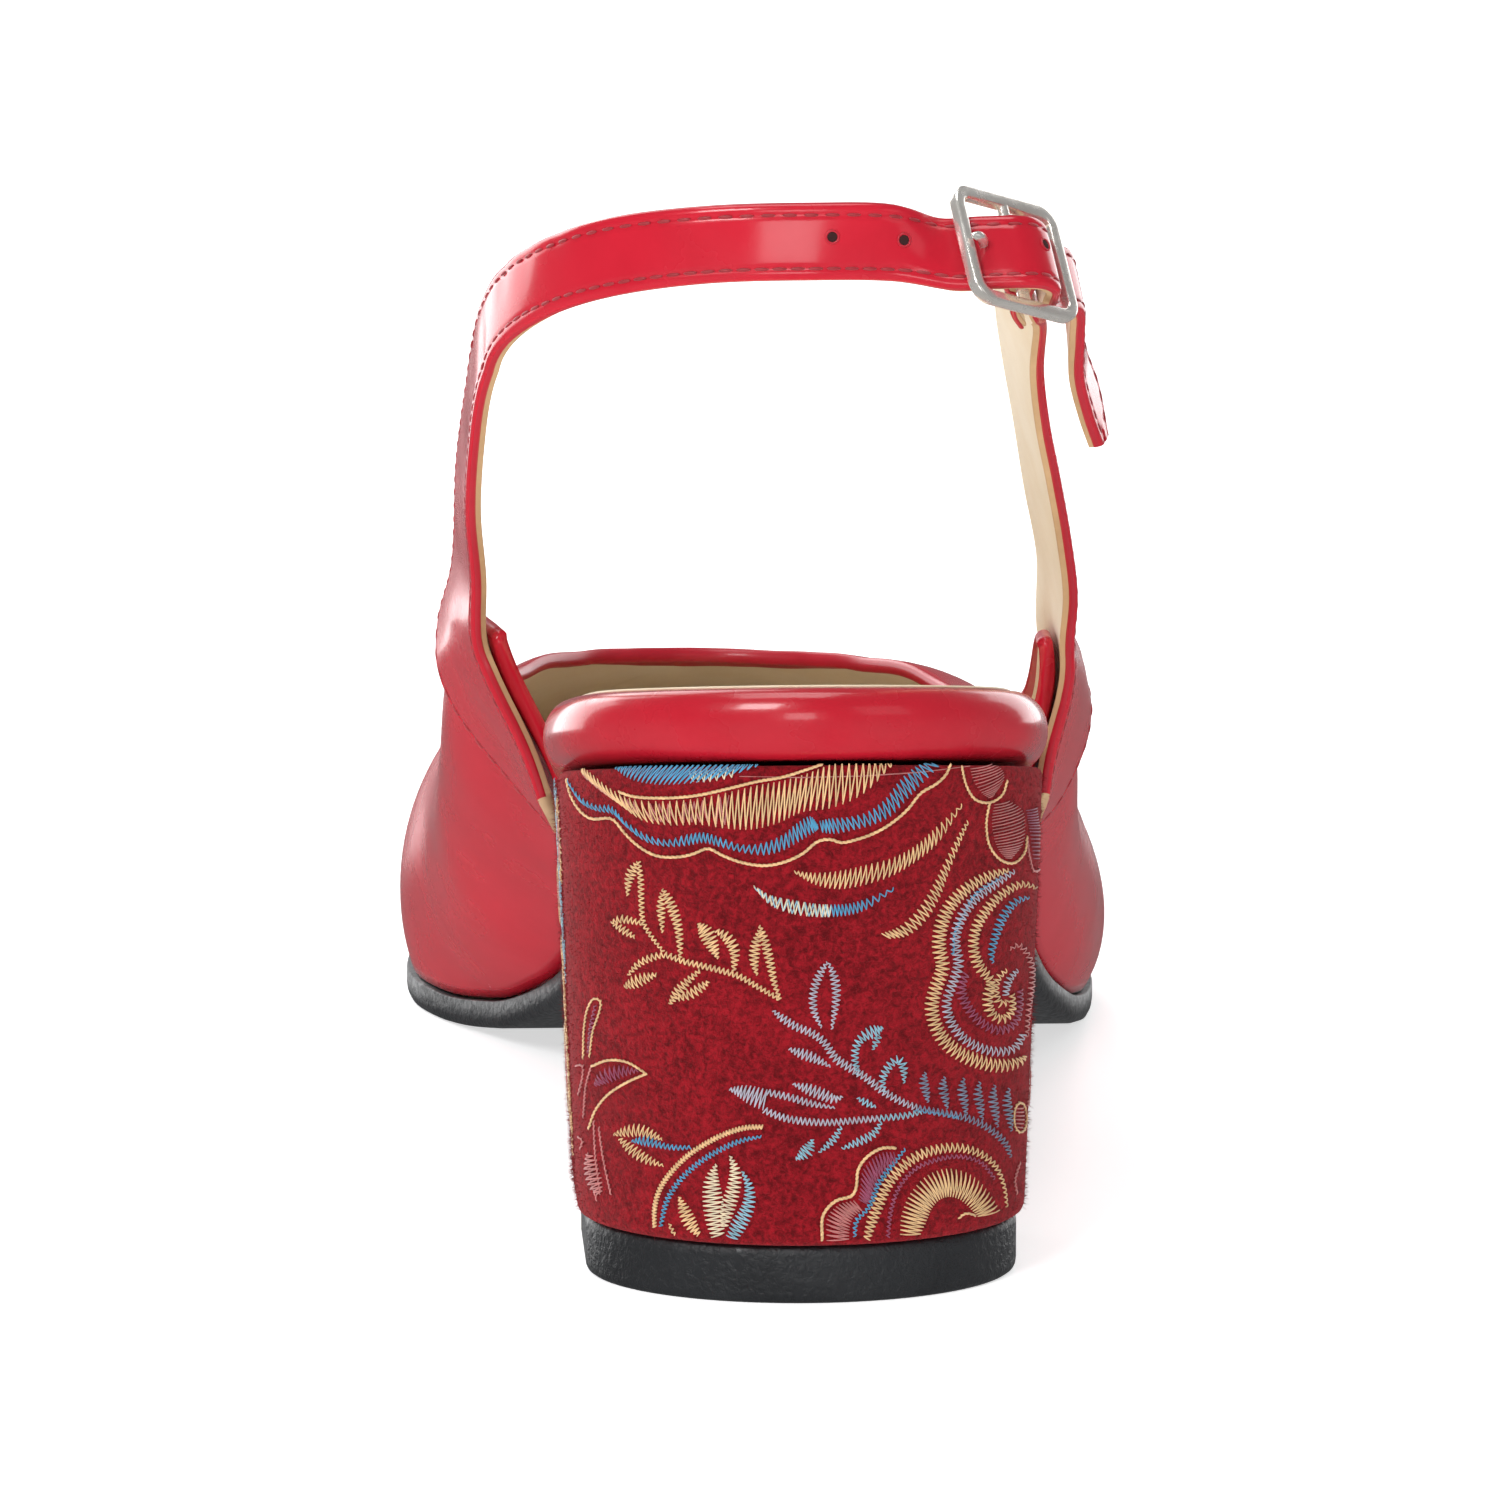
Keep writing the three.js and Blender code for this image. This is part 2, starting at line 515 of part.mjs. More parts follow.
function makeBuckleStrap() {
  const width = STRAP_WIDTH - 2 * CLEARANCE;
  const base = overlayRows(LAST_RIB + BAND_OVERHANG, OUTER_SEAM);
  const climb = OUTER_ROWS.map(freeRow);
  const reach = BAR_REACH + CLEARANCE;
  const ply = (rows, down) => rows.map(({ along, depth }) => buckleRow(reach * along, -UNDER_BAR * depth - down, width));
  const under = [buckleRow(reach, -UNDER_BAR - STRAP_WALL - 2 * CLEARANCE, width), ...ply(FOLD_IN, 0)];
  const fold = Array.from({ length: FOLD_TURN.steps + 1 }, (_, i) => {
    const turn = THREE.MathUtils.degToRad(lerp(FOLD_TURN.from, FOLD_TURN.to, i / FOLD_TURN.steps));
    return buckleRow(FOLD_RADIUS * Math.cos(turn), FOLD_RADIUS * Math.sin(turn), width);
  });
  const end = buckleRow(reach * 0.95, -UNDER_BAR - STRAP_WALL - 2 * FOLD_WALL - CLEARANCE, width);
  const back = [...ply(FOLD_BACK, 2 * FOLD_WALL), end];
  const rows = [...base, ...climb, ...under, ...fold, ...back];
  const thinFrom = (base.length + climb.length) / rows.length;
  const thickness = (share) => (share < thinFrom ? STRAP_WALL : FOLD_WALL);
  const strap = solidOf(strip(fineRows(rows, 2), thickness, -1));
  const slot = new THREE.BoxGeometry(6 * FOLD_RADIUS, PRONG_SLOT, 3 * FOLD_RADIUS);
  slot.applyMatrix4(buckleFrame.clone().multiply(new THREE.Matrix4().makeTranslation(-1.1 * FOLD_RADIUS, 0, 0)));
  return geometryOf(strap.subtract(solidOf(slot)));
}

function roundedRectangle(long, tallness, corner) {
  const shape = new THREE.Shape();
  const [x, y] = [long / 2 - corner, tallness / 2 - corner];
  shape.absarc(x, y, corner, 0, Math.PI / 2);
  shape.absarc(-x, y, corner, Math.PI / 2, Math.PI);
  shape.absarc(-x, -y, corner, Math.PI, 1.5 * Math.PI);
  shape.absarc(x, -y, corner, 1.5 * Math.PI, 2 * Math.PI);
  return shape;
}

function makeBuckle() {
  const { long, tall: height, bar, thick, bevel, corner, post } = BUCKLE;
  const shape = roundedRectangle(long - 2 * bevel, height - 2 * bevel, corner);
  const inside = 2 * (bar - bevel);
  shape.holes.push(roundedRectangle(long - inside, height - inside, corner - bar / 2));
  const ring = new THREE.ExtrudeGeometry(shape, {
    depth: thick - 2 * bevel,
    bevelThickness: bevel,
    bevelSize: bevel,
    bevelSegments: 2,
    curveSegments: 6,
  }).translate(0, 0, -thick / 2 + bevel);
  const centre = new THREE.CylinderGeometry(post, post, height - bar, 12);
  return geometryOf(solidOf(ring).add(solidOf(centre)));
}

// A round rod along a path in the buckle's frame, its ends closed
function rod(points, radius, sides = 8) {
  const path = new THREE.CatmullRomCurve3(points, false, "centripetal");
  const shape = new THREE.Shape();
  shape.absarc(0, 0, radius, 0, 2 * Math.PI);
  return new THREE.ExtrudeGeometry(shape, { steps: points.length * 2, curveSegments: sides / 2, extrudePath: path });
}

function makeProng() {
  const { post, prong, thick } = BUCKLE;
  const radius = post + CLEARANCE + prong;
  const points = [];
  for (let degrees = 150; degrees >= -90; degrees -= 30) {
    const turn = THREE.MathUtils.degToRad(degrees);
    points.push(vec(radius * Math.cos(turn), 0, radius * Math.sin(turn)));
  }
  const rest = thick / 2 + CLEARANCE + prong;
  points.push(vec(-PRONG_THROUGH * 0.6, 0, -radius));
  points.push(vec(-PRONG_THROUGH * 0.85, 0, -rest / 2));
  points.push(vec(-PRONG_THROUGH * 1.08, 0, rest / 2));
  points.push(vec(-BAR_REACH * 0.9, 0, rest));
  points.push(vec(-BAR_REACH * 1.1, 0, rest));
  return geometryOf(solidOf(rod(points, prong)));
}

// Layers from the floor up

// The outsole's edge inside the feather line: tucked in at the waist, a welt at the forefoot
const WELT = [
  { y: 0.127 * LENGTH, inset: 1 },
  { y: 0.381 * LENGTH, inset: 0 },
  { y: 0.551 * LENGTH, inset: -0.7 },
  { y: LENGTH, inset: -0.7 },
];

function makeOutsole() {
  const breast = HEEL.topBreast + CLEARANCE;
  const insetAt = through(WELT, "y", "inset");
  return layer(stepAt(breast), (y) => {
    const inset = insetAt(y);
    return [
      { inset: inset + SOLE_BEVEL, lift: -SOLE },
      { inset, lift: -SOLE + SOLE_BEVEL },
      { inset, lift: 0 },
    ];
  });
}

const QUARTER_START = upperPoint(FIRST_RIB - BAND_OVERHANG, 0).y;
const PAD = [
  { y: -SEAT_BACK, thick: SEAT_PAD, inset: 0 },
  { y: QUARTER_START - 5, thick: SEAT_PAD, inset: 0 },
  { y: QUARTER_START - 1, thick: SEAT_PAD * 0.97, inset: UPPER_WALL + CLEARANCE + INNER_MARGIN },
  { y: 0.318 * LENGTH, thick: WAIST_PAD, inset: UPPER_WALL + CLEARANCE + INNER_MARGIN },
  { y: 2 * LENGTH, thick: WAIST_PAD, inset: UPPER_WALL + CLEARANCE + INNER_MARGIN },
];
const padThick = through(PAD, "y", "thick");
const padInset = through(PAD, "y", "inset");

function makeInsole() {
  return layer(0, (y) => {
    const half = padThick(y) / 2;
    const turns = 6;
    return Array.from({ length: turns + 1 }, (_, i) => {
      const turn = lerp(-Math.PI / 2, Math.PI / 2, i / turns);
      const roll = Math.min(half, SOCK_MARGIN - CLEARANCE);
      return {
        inset: padInset(y) - RIM_SWELL + roll * (1 - Math.cos(turn)),
        lift: CLEARANCE + half + half * Math.sin(turn),
      };
    });
  });
}

function makeSock() {
  return layer(0, (y) => {
    const inset = padInset(y) + SOCK_MARGIN;
    const lift = 2 * CLEARANCE + padThick(y);
    return [{ inset, lift }, { inset, lift: lift + SOCK }];
  });
}

function makeHeel() {
  const top = { half: HEEL.topHalf, back: HEEL.topBack, breast: HEEL.topBreast };
  const foot = { half: HEEL.footHalf, back: HEEL.footBack, breast: HEEL.footBreast };
  const floor = TOP_LIFT + CLEARANCE;
  const shares = [0, 0.25, 0.5, 0.75, 1];
  return heelSolid(shares.map((share) => ({
    half: lerp(foot.half, top.half, share),
    back: lerp(foot.back, top.back, share),
    breast: lerp(foot.breast, top.breast, share),
    height: (y) => lerp(floor, bed(y) - CLEARANCE, share),
  })));
}

function makeTopLift() {
  const plan = {
    half: HEEL.footHalf - LIFT_INSET,
    back: HEEL.footBack - LIFT_INSET,
    breast: HEEL.footBreast - LIFT_INSET,
  };
  return heelSolid([{ ...plan, height: () => 0 }, { ...plan, height: () => TOP_LIFT }]);
}

// Finishes
const finish = (color, roughness, metalness = 0) => new THREE.MeshStandardMaterial({ color, roughness, metalness });
const redLeather = finish(0xc4263a, 0.35);
const redSuede = finish(0x9c1a24, 0.95);
const blackRubber = finish(0x25282a, 0.75);
const beigeLining = finish(0xe6d3af, 0.8);
const nickel = finish(0xcfc6b8, 0.2, 1);

const sandal = new THREE.Group();
const buckleGroup = new THREE.Group();
buckleGroup.applyMatrix4(buckleFrame);
sandal.add(buckleGroup);

function place(name, geometry, material, group = sandal) {
  const mesh = new THREE.Mesh(geometry, material);
  mesh.name = name;
  group.add(mesh);
}

place("top_lift", makeTopLift(), blackRubber);
place("heel_block", makeHeel(), redSuede);
place("outsole", makeOutsole(), blackRubber);
place("insole", makeInsole(), redLeather);
place("sock", makeSock(), beigeLining);
place("upper", makeUpper(), redLeather);
place("sling_strap", makeSling(), redLeather);
place("buckle_strap", makeBuckleStrap(), redLeather);
place("buckle_frame", makeBuckle(), nickel, buckleGroup);
place("buckle_prong", makeProng(), nickel, buckleGroup);

export default sandal;
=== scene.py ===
"""A right-foot slingback sandal in glossy red leather, on an embroidered suede block heel.

Sizes are millimetres in the shoe's own frame: +Y to the toe, +X to the outer side, +Z up, the origin on the
floor under the heel. A finished mesh is in metres.
"""

import logging
import math
from collections.abc import Callable, Iterable, Sequence
from dataclasses import dataclass, field
from enum import Enum

import bpy
import numpy as np
from mathutils import Matrix, Vector

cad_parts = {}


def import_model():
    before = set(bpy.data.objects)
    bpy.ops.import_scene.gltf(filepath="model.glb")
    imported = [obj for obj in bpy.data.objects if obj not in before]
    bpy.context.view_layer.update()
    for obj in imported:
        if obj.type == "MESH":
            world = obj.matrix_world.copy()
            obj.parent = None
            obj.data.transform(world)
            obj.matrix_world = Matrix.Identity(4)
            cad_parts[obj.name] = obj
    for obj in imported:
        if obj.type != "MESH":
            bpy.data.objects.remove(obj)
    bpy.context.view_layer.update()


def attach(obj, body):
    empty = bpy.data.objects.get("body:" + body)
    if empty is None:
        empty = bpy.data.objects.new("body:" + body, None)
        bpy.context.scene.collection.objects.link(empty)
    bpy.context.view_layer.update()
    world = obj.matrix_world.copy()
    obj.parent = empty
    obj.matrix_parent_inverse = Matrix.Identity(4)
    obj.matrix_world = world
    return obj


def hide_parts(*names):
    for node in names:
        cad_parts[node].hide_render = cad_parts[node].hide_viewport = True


log = logging.getLogger("sandal")
MM = 0.001
FRAME = 1500  # the photograph's side, in pixels
SENSOR = 36  # the camera's width, in the lens's millimetres
PIXEL = 0.111  # one of its pixels at the heel, in millimetres
INNER_SEAM, OUTER_SEAM = (5.08, 5.42), (20.92, 20.58)  # the bands' front edges, at the foot and at the top
STRAP_SLIP = 1.5  # how far the strap hangs down where it passes over the post
Array = np.ndarray

# The sole line's half widths, shares of the ball's width, by share of the length from the heel's back
OUTLINE = [
    (0, 0, 0), (0.017, 0.165, 0.165), (0.064, 0.289, 0.289), (0.136, 0.333, 0.333), (0.22, 0.325, 0.335),
    (0.314, 0.29, 0.335), (0.419, 0.262, 0.35), (0.525, 0.28, 0.4), (0.631, 0.375, 0.47),
    (0.729, 0.482, 0.505), (0.822, 0.467, 0.458), (0.907, 0.375, 0.327), (0.966, 0.226, 0.131),
    (1, 0.07, -0.07),
]
TIP = len(OUTLINE) - 1
TURNS = 2 * TIP
# The bed's height: share of the length, of the heel's rise, of the toe's spring
BED = [
    (-0.02, 1.018, 0), (0, 1, 0), (0.102, 0.913, 0), (0.208, 0.808, 0), (0.314, 0.638, 0), (0.42, 0.417, 0),
    (0.504, 0.235, 0), (0.568, 0.11, 0), (0.63, 0.03, 0), (0.69, 0, 0), (0.755, 0, 0), (0.801, 0, 0.06),
    (0.864, 0, 0.24), (0.928, 0, 0.55), (1, 0, 1), (1.02, 0, 1.15),
]
# The upper's ribs: step, the topline's across, along and rise, then swell, stand, reach and fall
RIBS = [
    (4.45, -0.403, 0.252, 0.435, 0.05, 0.19, -0.045, -0.16),
    (5, -0.432, 0.314, 0.58, 0.11, 0.21, 0.028, -0.19),
    (6, -0.445, 0.411, 0.672, 0.38, 0.23, 0.08, -0.21), (7, -0.375, 0.513, 0.819, 0.52, 0.3, 0.21, -0.15),
    (8, -0.305, 0.59, 0.974, 0.37, 0.35, 0.35, -0.06), (9, -0.238, 0.634, 1.01, 0.13, 0.33, 0.47, -0.04),
    (10, -0.173, 0.657, 1.014, 0.12, 0.28, 0.6, -0.11), (11, -0.125, 0.668, 1.012, 0.09, 0.26, 0.74, -0.21),
    (12, -0.086, 0.673, 1.01, 0.07, 0.26, 0.82, -0.27), (13, -0.048, 0.675, 1.007, 0.07, 0.28, 0.84, -0.3),
    (14, -0.01, 0.673, 1.005, 0.07, 0.26, 0.82, -0.28), (15, 0.033, 0.667, 1.002, 0.09, 0.26, 0.74, -0.24),
    (16, 0.089, 0.655, 1, 0.12, 0.26, 0.63, -0.14), (17, 0.15, 0.631, 0.988, 0.17, 0.28, 0.51, -0.06),
    (18, 0.22, 0.583, 0.933, 0.2, 0.3, 0.42, -0.04), (19, 0.305, 0.5, 0.71, 0.22, 0.28, 0.28, -0.09),
    (20, 0.36, 0.411, 0.54, 0.19, 0.23, 0.21, -0.14), (21, 0.372, 0.33, 0.55, 0.11, 0.19, 0.105, -0.14),
    (21.55, 0.366, 0.252, 0.412, 0.02, 0.19, 0.02, -0.16),
]
# The straps' free rows: the low edge's, then the high edge's shares of half width, depth and rise
SLING_ROWS = [
    ((-0.957, 0.6, 0.135), (-1.01, 0.885, 0.1)), ((-0.978, 0.516, 0.28), (-1, 0.735, 0.34)),
    ((-0.972, 0.43, 0.427), (-0.975, 0.57, 0.537)), ((-0.95, 0.34, 0.557), (-0.945, 0.435, 0.7)),
    ((-0.9, 0.254, 0.66), (-0.885, 0.31, 0.806)), ((-0.775, 0.16, 0.739), (-0.765, 0.188, 0.887)),
    ((-0.585, 0.075, 0.796), (-0.58, 0.091, 0.945)), ((-0.31, 0.019, 0.831), (-0.31, 0.03, 0.977)),
    ((0, 0, 0.84), (0, 0.01, 0.986)), ((0.257, 0.01, 0.835), (0.257, 0.0225, 0.979)),
]
TAIL_ROWS = [
    ((0.832, 0.204, 0.73), (0.8, 0.279, 0.838)), ((0.843, 0.26, 0.667), (0.83, 0.355, 0.7415)),
    ((0.846, 0.305, 0.583), (0.868, 0.411, 0.629)), ((0.878, 0.3375, 0.503), (0.915, 0.44, 0.548)),
    ((0.9135, 0.3625, 0.439), (0.943, 0.416, 0.452)),
]
OUTER_ROWS = [
    ((0.88, 0.6225, 0.085), (0.828, 0.885, 0.12)), ((0.854, 0.5725, 0.204), (0.775, 0.7975, 0.272)),
    ((0.81, 0.504, 0.34), (0.722, 0.69, 0.442)), ((0.7675, 0.435, 0.46), (0.675, 0.585, 0.578)),
    ((0.74, 0.366, 0.578), (0.638, 0.485, 0.697)), ((0.735, 0.26, 0.689), (0.622, 0.3475, 0.791)),
]
# The strap's arch over the buckle's post: along, over and slip
ARCH = [(-1, 0, 0), (-0.6, 0.5, 0.5), (-0.25, 0.93, 1), (0, 1, 1), (0.25, 0.93, 1), (0.6, 0.5, 0.5),
        (1, 0, 0)]


class Thread(Enum):
    """The embroidery's thread colours, as linear red, green and blue."""

    CREAM = (0.86, 0.56, 0.27)
    IVORY = (0.86, 0.72, 0.5)
    BLUE = (0.07, 0.36, 0.62)
    LILAC = (0.5, 0.5, 0.6)
    SKY = (0.28, 0.55, 0.68)
    SLATE = (0.2, 0.26, 0.38)
    MAUVE = (0.36, 0.06, 0.14)
    ROSE = (0.62, 0.2, 0.19)


# ---------------------------------------------------------------- shape helpers

def unit(v: Array) -> Array:
    """The vectors in v at length one."""
    return v / np.maximum(np.linalg.norm(v, axis=-1, keepdims=True), 1e-9)


def through(knots: Sequence[float], values: Sequence[float]) -> Callable[[Array], Array]:
    """A curve through values that never overshoots them.

    Args:
        knots: where the values stand, rising.
        values: one value for each knot.

    Returns:
        A function of places that gives the curve's values there.
    """
    xs, ys = np.array(knots, float), np.array(values, float)
    rise = np.diff(ys) / np.diff(xs)
    before = np.concatenate([rise[:1], rise])
    after = np.concatenate([rise, rise[-1:]])
    both = before + after
    slope = np.where(before * after <= 0, 0, 2 * before * after / np.where(both == 0, 1, both))

    def at(x: Array) -> Array:
        """The curve's values at x."""
        i = np.clip(np.searchsorted(xs, x, side="right") - 1, 0, len(xs) - 2)
        span = xs[i + 1] - xs[i]
        t = np.clip((x - xs[i]) / span, 0, 1)
        ease = t * t * (3 - 2 * t)
        leave = t * (1 - t) ** 2 * span * slope[i]
        arrive = t * t * (t - 1) * span * slope[i + 1]
        return ys[i] + (ys[i + 1] - ys[i]) * ease + leave + arrive

    return at


def smooth(steps: Sequence[float], values: Sequence[float]) -> Callable[[Array], Array]:
    """A smooth curve through values by outline step, let run straight past both ends.

    Args:
        steps: the outline steps, rising.
        values: one value for each step.

    Returns:
        A function of steps that gives the curve's values there.
    """
    xs, ys = np.array(steps, float), np.array(values, float)
    low = np.maximum(np.arange(len(xs)) - 1, 0)
    high = np.minimum(np.arange(len(xs)) + 1, len(xs) - 1)
    slope = (ys[high] - ys[low]) / (xs[high] - xs[low])

    def at(x: Array) -> Array:
        """The curve's values at x."""
        i = np.clip(np.searchsorted(xs, x, side="right") - 1, 0, len(xs) - 2)
        span = xs[i + 1] - xs[i]
        t = (x - xs[i]) / span
        ease = t * t * (3 - 2 * t)
        inside = t * (1 - t) * span * (slope[i] * (1 - t) - slope[i + 1] * t)
        y = ys[i] + (ys[i + 1] - ys[i]) * ease + inside
        y = np.where(t < 0, ys[i] + t * span * slope[i], y)
        return np.where(t > 1, ys[i + 1] + (t - 1) * span * slope[i + 1], y)

    return at


@dataclass
class Curve:
    """A centripetal curve through points, each a row of numbers."""

    points: Array
    closed: bool = False

    def at(self, share: Array) -> Array:
        """Points of the curve.

        Args:
            share: places from 0 to 1, even by point.

        Returns:
            One row of numbers for each place.
        """
        pts = np.asarray(self.points, float)
        n = len(pts)
        if self.closed:
            p = np.mod(np.asarray(share, float), 1) * n
            i = np.floor(p).astype(int)
            take = [pts[(i + k) % n] for k in (-1, 0, 1, 2)]
        else:
            p = np.clip(np.asarray(share, float), 0, 1) * (n - 1)
            i = np.minimum(np.floor(p).astype(int), n - 2)
            ends = np.concatenate([[2 * pts[0] - pts[1]], pts, [2 * pts[-1] - pts[-2]]])
            take = [ends[i + k] for k in (0, 1, 2, 3)]
        w = (p - i)[..., None]
        d = [np.sqrt(np.linalg.norm(b - a, axis=-1, keepdims=True)) for a, b in zip(take, take[1:])]
        d[1] = np.where(d[1] < 1e-4, 1, d[1])
        d[0] = np.where(d[0] < 1e-4, d[1], d[0])
        d[2] = np.where(d[2] < 1e-4, d[1], d[2])
        x0, x1, x2, x3 = take
        t1 = ((x1 - x0) / d[0] - (x2 - x0) / (d[0] + d[1]) + (x2 - x1) / d[1]) * d[1]
        t2 = ((x2 - x1) / d[1] - (x3 - x1) / (d[1] + d[2]) + (x3 - x2) / d[2]) * d[1]
        c2 = -3 * x1 + 3 * x2 - 2 * t1 - t2
        c3 = 2 * x1 - 2 * x2 + t1 + t2
        return x1 + t1 * w + c2 * w ** 2 + c3 * w ** 3

    def even(self, pitch: float) -> Array:
        """Points a pitch apart along the curve, both ends kept."""
        fine = self.at(np.linspace(0, 1, 40 * len(self.points)))
        run = np.concatenate([[0], np.cumsum(np.linalg.norm(np.diff(fine, axis=0), axis=1))])
        count = max(2, int(round(run[-1] / pitch)) + 1)
        where = np.linspace(0, run[-1], count)
        return np.stack([np.interp(where, run, fine[:, k]) for k in range(fine.shape[1])], axis=1)


@dataclass
class Last:
    """The last that the shoe is made on: its outline, its bed and its upper's surface."""

    length: float = 236
    ball: float = 84
    back: float = 24
    rise: float = 58.8
    spring: float = 10
    instep: float = 43
    sole: float = 3.5
    clearance: float = 0.3

    def __post_init__(self) -> None:
        """Makes the curves from the tables."""
        alongs, inner, outer = (np.array(c, float) for c in zip(*OUTLINE))
        y = alongs * self.length - self.back
        one = np.stack([-inner * self.ball, y, 0 * y], axis=1)
        two = np.stack([outer * self.ball, y, 0 * y], axis=1)[1:TIP][::-1]
        self.line = Curve(np.concatenate([one, two]), closed=True)
        shares, heel, toe = zip(*BED)
        self.heel_share, self.toe_share = through(shares, heel), through(shares, toe)
        columns = list(zip(*RIBS))
        self.rib = [smooth(columns[0], column) for column in columns[1:]]

    def bed(self, y: Array) -> Array:
        """The height of the outsole's top at y."""
        along = (np.asarray(y, float) + self.back) / self.length
        return self.sole + self.rise * self.heel_share(along) + self.spring * self.toe_share(along)

    def edge(self, step: Array, inset: Array | float = 0.0) -> Array:
        """Plan points of the sole line, moved inwards by inset."""
        t = np.mod(np.asarray(step, float) / TURNS, 1)
        point = self.line.at(t)
        small = 1e-4
        way = unit(self.line.at(np.minimum(t + small, 1 - 1e-9)) - self.line.at(np.maximum(t - small, 0)))
        side = np.stack([way[..., 1], -way[..., 0], 0 * way[..., 0]], axis=-1)
        return point + side * np.asarray(inset)[..., None]

    def step_at(self, y: float) -> float:
        """The inner side's outline step whose point lies at y."""
        steps = np.linspace(0, TIP, 4000)
        return float(np.interp(y, self.edge(steps)[:, 1], steps))

    def upper(self, step: Array, v: Array) -> Array:
        """Points of the upper's outer face.

        Args:
            step: outline steps.
            v: the share of the way from the feather line to the topline.

        Returns:
            The points, one for each pair.
        """
        across, along, rise, swell, stand, reach, fall = (f(step) for f in self.rib)
        foot = self.edge(step)
        foot[..., 2] = self.bed(foot[..., 1]) + self.clearance
        out = self.edge(step, -1.0) - self.edge(step)
        y = along * self.length - self.back
        top = np.stack([across * self.ball, y, rise * self.instep + self.bed(y)], axis=-1)
        up = np.array([0, 0, 1.0])
        one = foot + out * (swell * self.instep)[..., None] + up * (stand * self.instep)[..., None]
        two = top + out * (reach * self.instep)[..., None] + up * (fall * self.instep)[..., None]
        v = np.asarray(v, float)[..., None]
        return ((1 - v) ** 3 * foot + 3 * v * (1 - v) ** 2 * one + 3 * v * v * (1 - v) * two + v ** 3 * top)

    def upper_out(self, step: Array, v: Array) -> Array:
        """The upper's outward directions at the same places."""
        small = 0.02
        along = self.upper(step + small, v) - self.upper(step - small, v)
        up = self.upper(step, v + small) - self.upper(step, v - small)
        return unit(np.cross(up, along))


LAST = Last()
FIRST_RIB, LAST_RIB = RIBS[0][0], RIBS[-1][0]
UPPER_WALL, STRAP_WALL, FOLD_WALL = 1.8, 1.8, 1.0
BAND_CLEARANCE, OVERHANG, STRAP_WIDTH = 0.72, 0.06, 9.0


@dataclass
class Camera:
    """The photograph's viewpoint, and where a point of the shoe falls in the 1500 pixel frame."""

    distance: float = 1500.0
    lens: float = 320.0
    azimuth: float = -2.5
    elevation: float = 10.5
    aim: tuple[float, float, float] = (-5.7, 0.0, 59.3)

    def way(self) -> Vector:
        """The direction from what it aims at to the camera."""
        az, el = math.radians(self.azimuth), math.radians(self.elevation)
        return Vector((math.sin(az) * math.cos(el), -math.cos(az) * math.cos(el), math.sin(el)))

    def pixels(self, points: Array) -> Array:
        """The points' places in the photograph, as columns and rows."""
        back = np.array(self.way())
        right = unit(np.cross([0, 0, 1.0], back))
        up = np.cross(back, right)
        rel = points - np.array(self.aim)
        scale = self.lens / SENSOR * FRAME / (self.distance - rel @ back)
        return np.stack([FRAME / 2 + rel @ right * scale, FRAME / 2 - rel @ up * scale], axis=-1)

    def nearest(self, points: Array, column: float, row: float) -> int:
        """The flat index of the point that falls nearest to a place in the photograph."""
        gap = np.linalg.norm(self.pixels(points.reshape(-1, 3)) - (column, row), axis=1)
        return int(np.argmin(gap))

    def build(self) -> None:
        """Makes the camera and gives it to the scene."""
        data = bpy.data.cameras.new("camera")
        data.lens, data.sensor_width, data.clip_end = self.lens, SENSOR, 20
        camera = bpy.data.objects.new("camera", data)
        bpy.context.collection.objects.link(camera)
        way = self.way()
        camera.location = (Vector(self.aim) + way * self.distance) * MM
        camera.rotation_euler = way.to_track_quat("Z", "Y").to_euler()
        bpy.context.scene.camera = camera


CAMERA = Camera()


# ---------------------------------------------------------------- shader helpers

class Value:
    """One number socket. Arithmetic on it adds Math nodes."""

    def __init__(self, tree: bpy.types.NodeTree, socket: bpy.types.NodeSocket) -> None:
        """Keeps the node tree and the socket."""
        self.tree, self.socket = tree, socket

    def _math(self, operation: str, first: "Value | float", second: "Value | float") -> "Value":
        """A Math node on two values."""
        node = self.tree.nodes.new("ShaderNodeMath")
        node.operation = operation
        for plug, value in zip(node.inputs, (first, second)):
            if isinstance(value, Value):
                self.tree.links.new(value.socket, plug)
            else:
                plug.default_value = value
        return Value(self.tree, node.outputs[0])

    def __add__(self, other: "Value | float") -> "Value":
        """self + other."""
        return self._math("ADD", self, other)

    def __rsub__(self, other: float) -> "Value":
        """other - self."""
        return self._math("SUBTRACT", other, self)

    def __mul__(self, other: "Value | float") -> "Value":
        """self * other."""
        return self._math("MULTIPLY", self, other)

    __radd__, __rmul__ = __add__, __mul__


